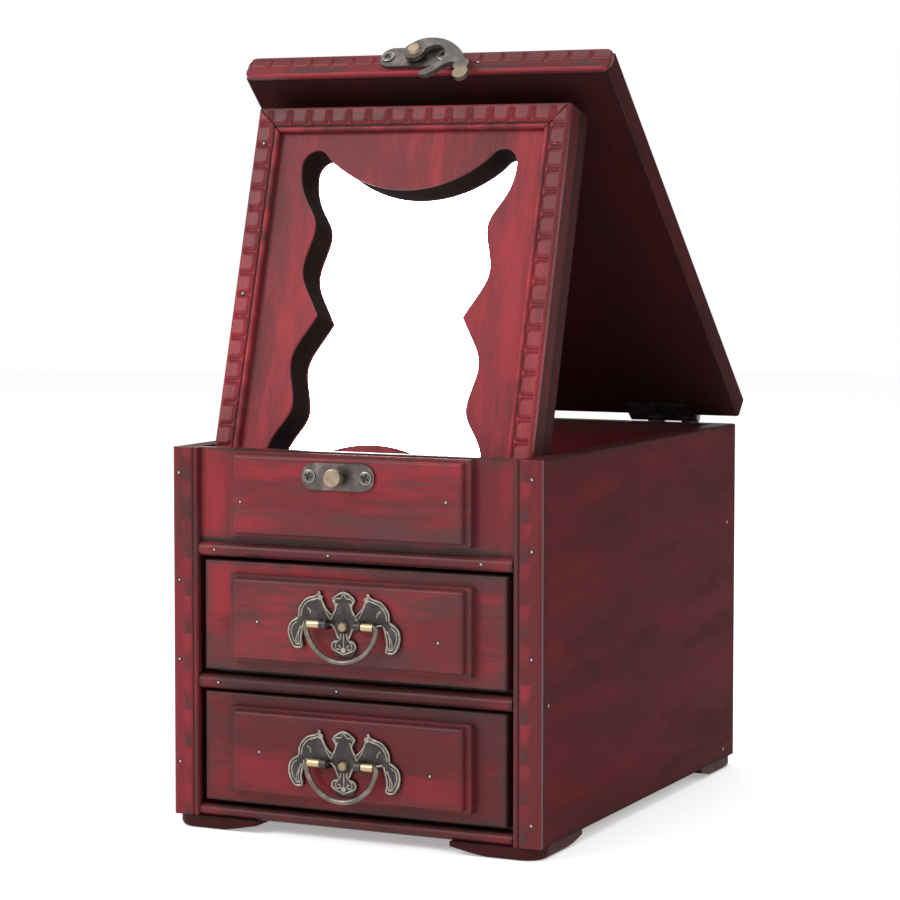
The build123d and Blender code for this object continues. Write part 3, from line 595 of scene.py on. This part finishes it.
def openingWallShade(tree, place):
    # Painted shadow: nearly black where the wall of the mirror's opening goes down behind the board's face,
    # and painted shade on the board's sides.
    x, _, z = axesOf(tree, place)
    away = mathNode(tree, "ABSOLUTE", x)
    deep = bandNode(tree, z, panelShade["wall"], 1.0, 0.0)
    across = bandNode(tree, away, panelShade["reach"], 1.0, 0.0)
    side = bandNode(tree, away, panelShade["side"], 0.0, 0.7)
    return mathNode(tree, "MAXIMUM", mathNode(tree, "MULTIPLY", deep, across), side)


def panelSideShade(tree, place):
    # Painted shade: the panel's sides are nearly black.
    x, _, _ = axesOf(tree, place)
    return bandNode(tree, mathNode(tree, "ABSOLUTE", x), panelShade["side"], 0.0, 0.6)


def lidShadows(tree, place):
    # Painted shade: the lid's underside is very dark, less so by its front edge, and its sides are painted a
    # darker brown shade.
    x, y, z = axesOf(tree, place)
    below = bandNode(tree, z, lidShade["under"], 1.0, 0.0)
    under = mathNode(tree, "MULTIPLY", below, bandNode(tree, y, lidShade["front"], 0.8, 0.45))
    away = mathNode(tree, "ABSOLUTE", mathNode(tree, "SUBTRACT", x, lidShade["middle"] * mm))
    side = bandNode(tree, away, lidShade["side"], 0.0, 0.7)
    return mathNode(tree, "MAXIMUM", under, side)


# Frame, then how far the board is darkened with painted shade, how much is rubbed bright and smoky, the
# shine, and the mask of painted shadow.
slanted = {
    "lid_board": (lidFrame, 0.35, 0.5, 0.5, "slanted", lidShadows),
    "mirror_backing": (panelFrame, 0.25, 0.3, 0.8, "slanted", panelSideShade),
    "mirror_front_board": (panelFrame, 0.0, 0.9, 0.6, "mirrorFront", openingWallShade),
}
for nodeName, (own, paintedShade, rubbed, smoke, kind, paintedShadow) in slanted.items():
    low, high = frameCorners(nodeName, own)
    dress(nodeName, lacquer("lacquer_" + nodeName, low, high, "y", own, paintedShade=paintedShade, rubbed=rubbed,
                            smoke=smoke, shine=boardShine[kind], paintedShadow=paintedShadow))
print("lid and mirror panel finished")


def mirrorFinish():
    material, _, shader = newMaterial("silveredGlass")
    shader.inputs["Base Color"].default_value = (0.96, 0.97, 0.975, 1)
    shader.inputs["Metallic"].default_value = 1.0
    shader.inputs["Roughness"].default_value = 0.02
    return material


dress("mirror_glass", mirrorFinish())

# The pulls: heights of the bails' axes above the floor, and where the polished parts lie.
pullAxes = {"upper": 76.1, "lower": 28.5}
collar = {"inner": (7.9, 8.1), "outer": (12.2, 12.45), "below": (-1.6, -1.45)}
plateBoss = {"middle": -0.6, "edge": (1.0, 2.2), "face": (-99.6, -99.2)}
thumb = {"left": (15.5, 17.0), "top": (265.5, 267.5)}


def collarBand(axisHeight):
    # Polished where the collars are, round the bail's axis.
    def mask(tree, place):
        x, _, z = axesOf(tree, place)
        away = mathNode(tree, "ABSOLUTE", x)
        above = bandNode(tree, z, [axisHeight + height for height in collar["below"]])
        between = mathNode(tree, "MULTIPLY", bandNode(tree, away, collar["inner"]),
                           bandNode(tree, away, collar["outer"], 1.0, 0.0))
        return mathNode(tree, "MULTIPLY", between, above)
    return mask


def bossBand(axisHeight):
    # Rubbed to brass on the cast boss in the middle of the plate.
    def mask(tree, place):
        x, y, z = axesOf(tree, place)
        up = mathNode(tree, "SUBTRACT", z, (axisHeight + plateBoss["middle"]) * mm)
        squares = [mathNode(tree, "POWER", value, 2.0) for value in (x, up)]
        away = mathNode(tree, "SQRT", mathNode(tree, "ADD", *squares))
        near = bandNode(tree, away, plateBoss["edge"], 0.55, 0.0)
        proud = bandNode(tree, y, plateBoss["face"], 1.0, 0.0)
        return mathNode(tree, "MULTIPLY", near, proud)
    return mask


def thumbBand(tree, place):
    # Rubbed to pale brass on the hook's thumb piece.
    x, _, z = axesOf(tree, place)
    right = bandNode(tree, x, thumb["left"], 0.0, 0.28)
    return mathNode(tree, "MULTIPLY", right, bandNode(tree, z, thumb["top"], 1.0, 0.0))


finishes = {
    "bronze": metal("antiqueBronze", bronze["dark"], bronze["light"]),
    "steel": metal("dullSteel", (0.20, 0.19, 0.18), (0.62, 0.60, 0.57), 0.32),
    "rivet": metal("rubbedRivet", (0.24, 0.185, 0.13), (0.46, 0.36, 0.26), 0.34),
    "rubbed": metal("rubbedLines", (0.24, 0.21, 0.18), (0.46, 0.40, 0.33), 0.36),
    "screw": metal("crossedScrews", (0.05, 0.044, 0.040), (0.34, 0.30, 0.27), 0.4, carved=True),
    "nail": metal("smallNails", (0.022, 0.012, 0.011), (0.30, 0.28, 0.27), 0.35, carved=True),
    "hook": metal("hookBronze", (0.075, 0.065, 0.062), (0.22, 0.19, 0.17), 0.4, brassBand=thumbBand),
}
for level, axisHeight in pullAxes.items():
    finishes[level + "Plate"] = metal(level + "Plate", (0.040, 0.035, 0.036), (0.110, 0.094, 0.092),
                                      0.42, brassBand=bossBand(axisHeight))
    finishes[level + "Bail"] = metal(level + "Bail", (0.12, 0.10, 0.088), (0.30, 0.25, 0.21),
                                     0.34, brassBand=collarBand(axisHeight))
metals = {
    "catch_plate": "bronze", "catch_knob": "rivet", "hook_plate": "bronze", "hook": "hook",
    "hook_rivet": "rivet", "upper_pull_plate": "upperPlate", "lower_pull_plate": "lowerPlate",
    "upper_bail": "upperBail", "lower_bail": "lowerBail",
    "upper_pull_brads": "rubbed", "lower_pull_brads": "rubbed",
    "case_hinge_leaves": "bronze", "lid_hinge_leaves": "bronze", "lid_hinge_pins": "steel",
    "mirror_hinge_lid_leaves": "bronze", "mirror_hinge_panel_leaves": "bronze",
    "mirror_hinge_pins": "steel",
}
for nodeName, finish in metals.items():
    dress(nodeName, finishes[finish])
print("fittings finished")

# Embossed mouldings. A coin is a U open to the strip's outer edge, outlined by a groove.
coin = {
    "fadeIn": (0.9, 1.9),     # from the strip's outer edge
    "sunk": 0.42,             # the field round the coins, under their faces
    "line": 0.38, "lineWidth": 0.24,
    "bump": 0.34, "bumpAcross": 0.62, "bumpUp": 0.55, "bumpLift": 0.45,
}


def coinField(along, fromEdge, pitch, joint, foot=6.6, reach=3.45, corner=2.3):
    # The distance inside a rounded oblong, whose outer end lies beyond the strip's edge, gives the
    # coin and its outline, and a round bump fills the gap between two feet. Returns how deep the
    # face lies under its highest level, and the brightness and smoke of its finish.
    across = (along - joint) % pitch - pitch / 2
    sideways, downward = np.abs(across) - reach + corner, fromEdge - foot + corner
    outside = np.hypot(np.maximum(sideways, 0), np.maximum(downward, 0))
    inner = corner - outside - np.minimum(np.maximum(sideways, downward), 0)
    shown = smoothStep(fromEdge, *coin["fadeIn"])
    face = smoothStep(inner, 0.0, 1.3)
    bump = groove(np.hypot((np.abs(across) - pitch / 2) / coin["bumpAcross"],
                           (fromEdge - foot + coin["bumpLift"]) / coin["bumpUp"]), 1.0) * (inner < 0)
    outline = coin["line"] * groove(inner, coin["lineWidth"])
    depth = shown * (coin["sunk"] * (1 - face) + outline) - coin["bump"] * bump
    tone = 0.5 + 0.26 * shown * groove(inner - 0.45, 0.34) + 0.42 * bump
    tone = tone - 0.42 * shown * groove(inner, 0.22)
    smoky = 0.42 * shown * smoothStep(inner, 1.0, 2.6)
    return depth, tone, smoky


deepestCut = 2.2
trims = {
    # Quarter turns from the top trim, half length, half span of the panel, pitch, a joint between coins.
    "mirror_top_trim": (0, 60.6, 76.0, 7.88, 7.54),
    "mirror_left_trim": (1, 76.0, 60.6, 7.92, -1.4),
    "mirror_bottom_trim": (2, 60.6, 76.0, 7.88, 7.54),
    "mirror_right_trim": (3, 76.0, 60.6, 7.98, -4.1),
}
trimSize = {
    "width": 9.0, "face": 17.0, "back": 14.0, "edge": 1.1,
    "beadStart": (7.0, 7.3), "beadLine": 7.05, "beadMiddle": 8.1, "beadRadius": 0.85, "beadDrop": 0.25,
    "step": 0.22, "rows": 40,
}
trimLooks = {
    "upright": {"grain": "y", "rubbed": 0.95, "smoke": 0.3, "coinSmoke": 0.4},
    "level": {"grain": "x", "rubbed": 0.7, "smoke": 0.65, "coinSmoke": 1.2},
}


def makeTrim(name):
    # Coins along the outer part, then a groove and a half-round bead along the inner edge, between
    # mitred ends: the strip is shorter by its distance from the outer edge.
    turns, halfLength, halfSpan, pitch, joint = trims[name]
    size, look = trimSize, trimLooks["upright" if turns % 2 else "level"]
    steps = int(halfLength * 2 / size["step"])
    share, fromEdge = np.meshgrid(np.linspace(-1, 1, steps), np.linspace(size["width"], 0, size["rows"]),
                                  indexing="ij")
    along = share * (halfLength - fromEdge)
    depth, tone, smoky = coinField(along, fromEdge, pitch, joint)
    bead = smoothStep(fromEdge, *size["beadStart"])
    radius, fromLine = size["beadRadius"], fromEdge - size["beadLine"]
    underRoot = np.maximum(radius**2 - (fromEdge - size["beadMiddle"]) ** 2, 0)
    depth = depth * (1 - bead) + bead * (size["beadDrop"] + radius - np.sqrt(underRoot))
    fromMitre = halfLength - fromEdge - np.abs(along)
    depth = depth + 0.45 * groove(fromLine, 0.22)
    depth = depth + rounded(fromEdge, size["edge"]) + 0.35 * groove(fromMitre, 0.25)
    tone = tone * (1 - bead) + bead * (0.55 + 0.4 * softNoise(along / 4, fromEdge / 9, 31 + turns))
    tone = tone - 0.5 * groove(fromLine, 0.25) - 0.4 * groove(fromMitre, 0.3)
    worn = smoothStep(softNoise(along / 5, fromEdge / 6, 7 + turns), 0.15, 0.6)
    smoky = look["coinSmoke"] * smoky * (1 - bead) * worn
    x, y = along, halfSpan - fromEdge
    for _ in range(turns):
        x, y = -y, x
    face = size["face"] - np.clip(depth, 0, deepestCut)
    toModel = lambda points: placed(points, panelFrame)
    piece = reliefPiece(name + "_carved", x, y, face, size["back"], toModel, tone, smoky)
    low, high = frameCorners(name, panelFrame)
    # The top trim is darkened with more painted shade than the others.
    finish = lacquer("carved_" + name, low, high, look["grain"], panelFrame, rubbed=look["rubbed"],
                     smoke=look["smoke"], edgeWidth=0.8, edgeAmount=0.5, carved=True,
                     paintedShade=0.24 if turns == 0 else 0.06)
    return finishPiece(piece, finish, "mirror_panel", [name])


for trimName in trims:
    makeTrim(trimName)
print("carved mirror mouldings:", len(trims))

# The lid's front strip: a band of coins over a bevel with a thin bright lip.
lidStrip = {
    "left": -69.2, "right": 72.8, "face": 191.8, "back": 189.2, "upper": 7.0, "height": 9.3,
    "corner": 3.0, "edge": 0.9, "pitch": 8.33, "joint": -43.3,
    "bevel": (5.4, 5.9), "bevelDrop": 0.25, "bevelSlope": 0.24, "lip": (8.15, 8.35), "lipDrop": 0.35,
    "columns": 620, "rows": 44,
}


def makeLidStrip():
    # v runs down the strip: coins, then a plane that falls away evenly, then the level lip. The
    # quarter-round corners keep the strip clear of both long edges near its ends.
    size = lidStrip
    width = size["right"] - size["left"]
    x, share = np.meshgrid(np.linspace(0, width, size["columns"]), np.linspace(1, 0, size["rows"]),
                           indexing="ij")
    fromEnd = np.minimum(x, width - x)
    inset = rounded(fromEnd, size["corner"])
    v = inset + share * (size["height"] - 2 * inset)
    depth, tone, smoky = coinField(x + size["left"], v, size["pitch"], size["joint"],
                                   foot=5.3, reach=3.95, corner=0.9)
    bevel, lip = smoothStep(v, *size["bevel"]), smoothStep(v, *size["lip"])
    slope = size["bevelDrop"] + size["bevelSlope"] * np.clip(v - 5.6, 0, 2.8)
    depth = depth * (1 - bevel) + bevel * slope * (1 - lip) + lip * size["lipDrop"]
    fromEdge = np.minimum(np.minimum(v - inset, size["height"] - inset - v), fromEnd)
    depth = depth + 0.9 * rounded(fromEdge, size["edge"])
    plain = bevel * (1 - lip)
    tone = tone * (1 - bevel) + plain * (0.42 + 0.2 * softNoise(x / 9, v / 5, 3)) + lip * 0.85
    tone = tone - 0.35 * groove(v - 8.2, 0.2)
    smoky = smoky * (1 - bevel) + plain * smoothStep(softNoise(x / 12, v / 7, 9), 0.45, 0.8)
    toModel = lambda points: placed(facingFront(points), lidFrame)
    piece = reliefPiece("lid_front_strip_carved", x + size["left"], size["upper"] - v,
                        size["face"] - np.clip(depth, 0, deepestCut), size["back"], toModel, tone, smoky)
    low, high = frameCorners("lid_front_strip", lidFrame)
    # The strip is darkened a little with painted shade.
    finish = lacquer("carved_lid_strip", low, high, "x", lidFrame, rubbed=0.7, smoke=0.9,
                     edgeWidth=0.9, edgeAmount=0.6, carved=True, paintedShade=0.2)
    return finishPiece(piece, finish, "lid", ["lid_front_strip"])


makeLidStrip()

# Corner strips: leaves one under the other, each wide and red below a small step and narrow and
# brown at its foot. side is 1 where the outer edge lies at the right.
cornerStrips = {
    # the last value darkens the strip with painted shade
    "left_corner_strip": {"side": -1, "pitch": 13.37, "step": 122.1, "paintedShade": 0.3},
    "right_corner_strip": {"side": 1, "pitch": 13.45, "step": 126.7, "paintedShade": 0.18},
}
stripSize = {
    "width": 10.0, "outerRound": 1.3, "innerRound": 0.7, "ground": 0.50, "deepest": 2.4,
    "leafInner": (7.1, 7.6), "line": 8.05, "ridge": 9.1, "columns": 44, "rows": 420,
}


def makeCornerStrip(name):
    # t runs from 0 to 1 down each leaf. Its outer side moves inwards with t, its face rises with t
    # above the ground and drops at the next step, and a groove and a ridge follow the inner edge.
    own, size = cornerStrips[name], stripSize
    low, high = (np.array(corner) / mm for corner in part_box(name))
    x, z = np.meshgrid(np.linspace(low[0], high[0], size["columns"]),
                       np.linspace(low[2], high[2], size["rows"]), indexing="ij")
    fromEdge = (x - low[0]) if own["side"] < 0 else (high[0] - x)
    t = ((own["step"] - z) / own["pitch"]) % 1
    side = 1.9 + 2.7 * smoothStep(t, 0.0, 0.95) + 0.5 * groove(t - 1.0, 0.12)
    inside = smoothStep(fromEdge, side - 0.1, side + 0.5) * (1 - smoothStep(fromEdge, *size["leafInner"]))
    rise = inside * (0.04 + 0.26 * t) * smoothStep(t, 0.0, 0.03)
    channel = groove(fromEdge - side, 0.26) * smoothStep(t, 0.06, 0.3)
    ridge = groove(fromEdge - size["ridge"], 0.75)
    fromLine = fromEdge - size["line"]
    depth = size["ground"] - rise - 0.10 * ridge + 0.09 * channel + 0.55 * groove(fromLine, 0.25)
    band = (1 - inside) * smoothStep(fromEdge, 0.8, 1.6) * (fromEdge < 6)
    depth = depth - 0.12 * band * np.sin(np.pi * t) ** 2
    depth = depth + rounded(fromEdge, size["outerRound"])
    depth = depth + rounded(size["width"] - fromEdge, size["innerRound"])
    red = inside * (1 - smoothStep(t, 0.25, 0.8)) * smoothStep(fromEdge, side + 0.2, side + 2.2)
    red = red * (0.45 + 0.7 * softNoise(z / 8, x / 4, 21))
    tone = 0.5 + 0.30 * red - 0.14 * channel
    tone = tone - 0.22 * inside * groove(t - 1.0, 0.018) - 0.45 * groove(fromLine, 0.28)
    brown = inside * smoothStep(t, 0.4, 0.85) * smoothStep(softNoise(z / 9, x / 5, 5), 0.1, 0.5)
    smoky = np.maximum(brown, 0.9 * ridge * smoothStep(softNoise(z / 17, x / 5, 12), 0.2, 0.6))
    toModel = lambda points: facingFront(points) * mm
    piece = reliefPiece(name + "_carved", x, z, -low[1] - np.clip(depth, 0, size["deepest"]), -high[1],
                        toModel, tone, smoky)
    finish = lacquer("carved_" + name, tuple(low * mm), tuple(high * mm), "z", rubbed=0.6, smoke=0.75,
                     edgeWidth=0.8, edgeAmount=0.7, carved=True, paintedShade=own["paintedShade"])
    return finishPiece(piece, finish, "case", [name])


for stripName in cornerStrips:
    makeCornerStrip(stripName)
print("carved lid strip and corner strips finished")

# The cast plates' raised lines, right half only, on a grid of 21 squares to the half width with
# the bail's axis at the origin.
pull = {"halfWidth": 21.4, "squares": 21, "plate": 1.2, "sunk": 0.02,
        "rim": 0.40, "rimInset": 0.45, "vein": 0.27, "veinInset": 1.5}
pullRims = [
    [(0, 11.4), (2.4, 10.4), (4.4, 8.4), (3.3, 6.0), (4.3, 3.4)],
    [(4.3, 3.4), (6.6, 5.8), (8.0, 8.6), (9.0, 11.0)],
    [(9.0, 11.0), (10.6, 9.6), (14.3, 8.3), (16.9, 5.0), (17.2, 2.0)],
    [(17.2, 2.0), (20.4, -0.4), (21.0, -4.4), (18.6, -8.6), (15.4, -8.3), (15.6, -5.0), (14.4, 0.2)],
    [(14.4, 0.2), (9.4, -0.8), (4.6, -0.7), (2.2, -4.9)],
    [(2.2, -4.9), (4.5, -6.0), (4.4, -8.4), (0, -10.5)],
]
pullVeins = [
    [(8.7, 9.6), (7.6, 6.2), (6.1, 3.2), (4.9, 1.5), (4.1, 3.3), (3.0, 5.4), (2.3, 7.2)],
    [(0.0, 10.5), (1.1, 8.9), (2.6, 8.7), (3.5, 7.7), (2.9, 6.7), (2.0, 7.2)],
    [(8.6, 8.7), (11.8, 7.9), (14.4, 6.4), (15.7, 4.0), (15.9, 2.0)],
    [(13.7, 5.2), (12.6, 4.3), (12.4, 3.0)],
    [(15.4, -0.9), (17.0, -3.2), (17.9, -5.6), (17.4, -7.2), (16.4, -7.1), (16.3, -6.1)],
    [(1.1, -2.9), (1.3, -4.6), (2.9, -6.4), (2.9, -8.0), (1.5, -8.2), (1.3, -7.2), (2.1, -6.9)],
]
pullRib = [(0, -2.8), (0, -5.4), (0, -9.6)]


def insetPath(points, distance, samples=10):
    # The smooth path through the points, moved to its right-hand side.
    path = smoothPath(np.array(points) * pull["halfWidth"] / pull["squares"], samples)
    slope = np.gradient(path, axis=0)
    slope /= np.linalg.norm(slope, axis=1, keepdims=True)
    return path + distance * np.column_stack([slope[:, 1], -slope[:, 0]])


def makePullLines(level):
    # Thin rods half sunk in the plate's face: each line and its mirror image, and the middle rib.
    face = float(-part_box(level + "_pull_plate")[1][1]) / mm + pull["plate"] - pull["sunk"]
    lines = [(insetPath(points, pull["rimInset"]), pull["rim"]) for points in pullRims]
    lines += [(insetPath(points, 0), pull["vein"]) for points in pullVeins]
    lines += [(insetPath(pullRims[k], pull["veinInset"])[3:-3], pull["vein"]) for k in (2, 3)]
    mirrored = [(path * (sign, 1), radius) for path, radius in lines for sign in (1, -1)]
    mirrored.append((insetPath(pullRib, 0, samples=8), pull["vein"]))
    rods = []
    for path, radius in mirrored:
        out = np.full(len(path), face)
        points = facingFront(np.column_stack([path[:, 0], pullAxes[level] + path[:, 1], out]))
        rods.append(tube(points, radius, np.array([0, -1.0, 0])))
    points, faces = gather(rods)
    piece = meshPiece(level + "_pull_lines", points * mm, faces)
    return finishPiece(piece, finishes["rubbed"], level + "_drawer")


for level in pullAxes:
    makePullLines(level)
print("raised lines on the pulls finished")

# Screw heads with a crossed recess. Each has its body, its frame and the turn of its cross.
screws = {"radius": 2.3, "height": 0.9, "rim": 0.45, "dome": 0.45, "flat": 2.0,
          "arm": 1.35, "slot": 0.30, "deep": 0.62}
heads = {
    "catch_screws": ("case", None, 0.35),
    "hook_screws": ("lid", lidFrame, 0.75),
}


def makeScrews(name):
    # Rings round the head's middle, whose height is a dome less the square of the radius, less the
    # cross: a slot along each of two lines through the middle.
    body, own, turn = heads[name]
    corners = frameCorners(name, own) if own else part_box(name)
    low, high = (np.array(corner) / mm for corner in corners)
    toModel = lambda points: placed(facingFront(points), own) if own else facingFront(points) * mm
    face = -low[1] - screws["height"]
    level = (low[2] + high[2]) / 2
    share = np.concatenate([[1.0, 1.0, 0.985], np.linspace(0.95, 0.01, 34)])
    angle = np.linspace(0, 2 * np.pi, 120, endpoint=False)
    r, a = np.meshgrid(share * screws["radius"], angle, indexing="ij")
    dome = screws["rim"] + screws["dome"] * (1 - (r / screws["radius"]) ** 2)
    dome[0], dome[1] = -0.02, 0.38
    u, w = np.abs(r * np.cos(a + turn)), np.abs(r * np.sin(a + turn))
    slotted = lambda across: smoothStep(-across, -screws["slot"] - 0.08, -screws["slot"])
    cross = np.maximum(slotted(u) * (w < screws["arm"]), slotted(w) * (u < screws["arm"]))
    cross = cross * (r < screws["flat"])
    height = dome - screws["deep"] * cross
    rows, columns = r.shape
    faces = gridFaces(rows, columns, closedColumns=True)[:, ::-1].tolist()
    faces += [list(range(columns))[::-1], list(range((rows - 1) * columns, rows * columns))]
    rods = []
    for x in (low[0] + screws["radius"], high[0] - screws["radius"]):
        rings = np.stack([x + r * np.cos(a), level + r * np.sin(a), face + height], -1)
        rods.append((rings.reshape(-1, 3), faces))
    points, faces = gather(rods)
    piece = meshPiece(name + "_heads", toModel(points), faces)
    tone = np.clip(0.5 - 0.9 * cross + 0.3 * groove(r - 2.15, 0.15), 0, 1)
    setTone(piece, np.tile(tone.ravel(), len(rods)))
    return finishPiece(piece, finishes["screw"], body, [name])


for screwName in heads:
    makeScrews(screwName)

# Small nails: a domed silver head in a dark ring. Places are across, up and how far out the face lies.
onFront = lambda points: facingFront(points) * mm
onSide = lambda points: points[:, [2, 0, 1]] * mm
onPanel = lambda points: placed(points, panelFrame)
onStrip = lambda points: placed(facingFront(points), lidFrame)
beadFront = -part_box("tray_bead")[0][1] / mm
nails = {
    "case_front_nails": ("case", onFront, [
        (-67.3, 124.9, 93.6), (-67.3, 87.3, 93.6), (-67.3, 59.4, 93.6), (-67.3, 23.1, 93.6),
        (66.8, 127.6, 93.6), (66.8, 103.7, 93.6), (66.8, 67.9, 93.6), (66.8, 12.3, 93.6),
        (-41.4, 116.0, 96.3), (36.8, 119.0, 96.3),
        (-53.3, 98.6, beadFront), (-8.9, 98.6, beadFront), (48.4, 98.6, beadFront),
        (-51.9, 52.1, beadFront), (-5.7, 52.1, beadFront),
    ]),
    "case_side_nails": ("case", onSide, [(89.8, 96.4, 70.0), (87.1, 8.2, 70.0), (-86.7, 51.8, 70.0)]),
    "upper_drawer_nails": ("upper_drawer", onFront, [(-34.0, 75.0, 97.9), (34.7, 72.0, 97.9)]),
    "lower_drawer_nails": ("lower_drawer", onFront, [(-33.4, 29.8, 97.9), (31.7, 26.7, 97.9)]),
    "mirror_trim_nails": ("mirror_panel", onPanel, [
        (56.5, 61.5, 16.6), (56.4, 30.5, 16.6), (-57.1, 62.6, 16.6), (-57.5, 6.9, 16.6),
        (-51.1, 73.9, 16.7), (-2.3, 73.6, 16.6),
    ]),
    "lid_strip_nails": ("lid", onStrip, [(-62.9, 3.5, 191.5), (22.9, 1.9, 191.5)]),
}
nailProfile = {
    "radius": np.array([0.85, 0.85, 0.52, 0.46, 0.36, 0.20, 0.02]),
    "height": np.array([-0.60, 0.03, 0.04, 0.14, 0.22, 0.27, 0.28]),
    "bright": 0.5,     # inside this radius the head is rubbed bright
    "sides": 16,
}


def makeNails(name):
    # A profile of radius and height turned round the nail's middle, once for each place.
    body, toModel, places = nails[name]
    r, h, sides = nailProfile["radius"], nailProfile["height"], nailProfile["sides"]
    angle = np.linspace(0, 2 * np.pi, sides, endpoint=False)
    rings = np.stack([r[:, None] * np.cos(angle), r[:, None] * np.sin(angle),
                      np.repeat(h[:, None], sides, 1)], -1).reshape(-1, 3)
    faces = gridFaces(len(r), sides, closedColumns=True)[:, ::-1].tolist()
    faces += [list(range(sides))[::-1], list(range(len(rings) - sides, len(rings)))]
    points, faces = gather([(rings + np.array(place), faces) for place in places])
    piece = meshPiece(name, toModel(points), faces)
    setTone(piece, np.tile(np.repeat((r < nailProfile["bright"]) * 1.0, sides), len(places)))
    return finishPiece(piece, finishes["nail"], body)


for nailName in nails:
    makeNails(nailName)
print("screw heads and nails finished")
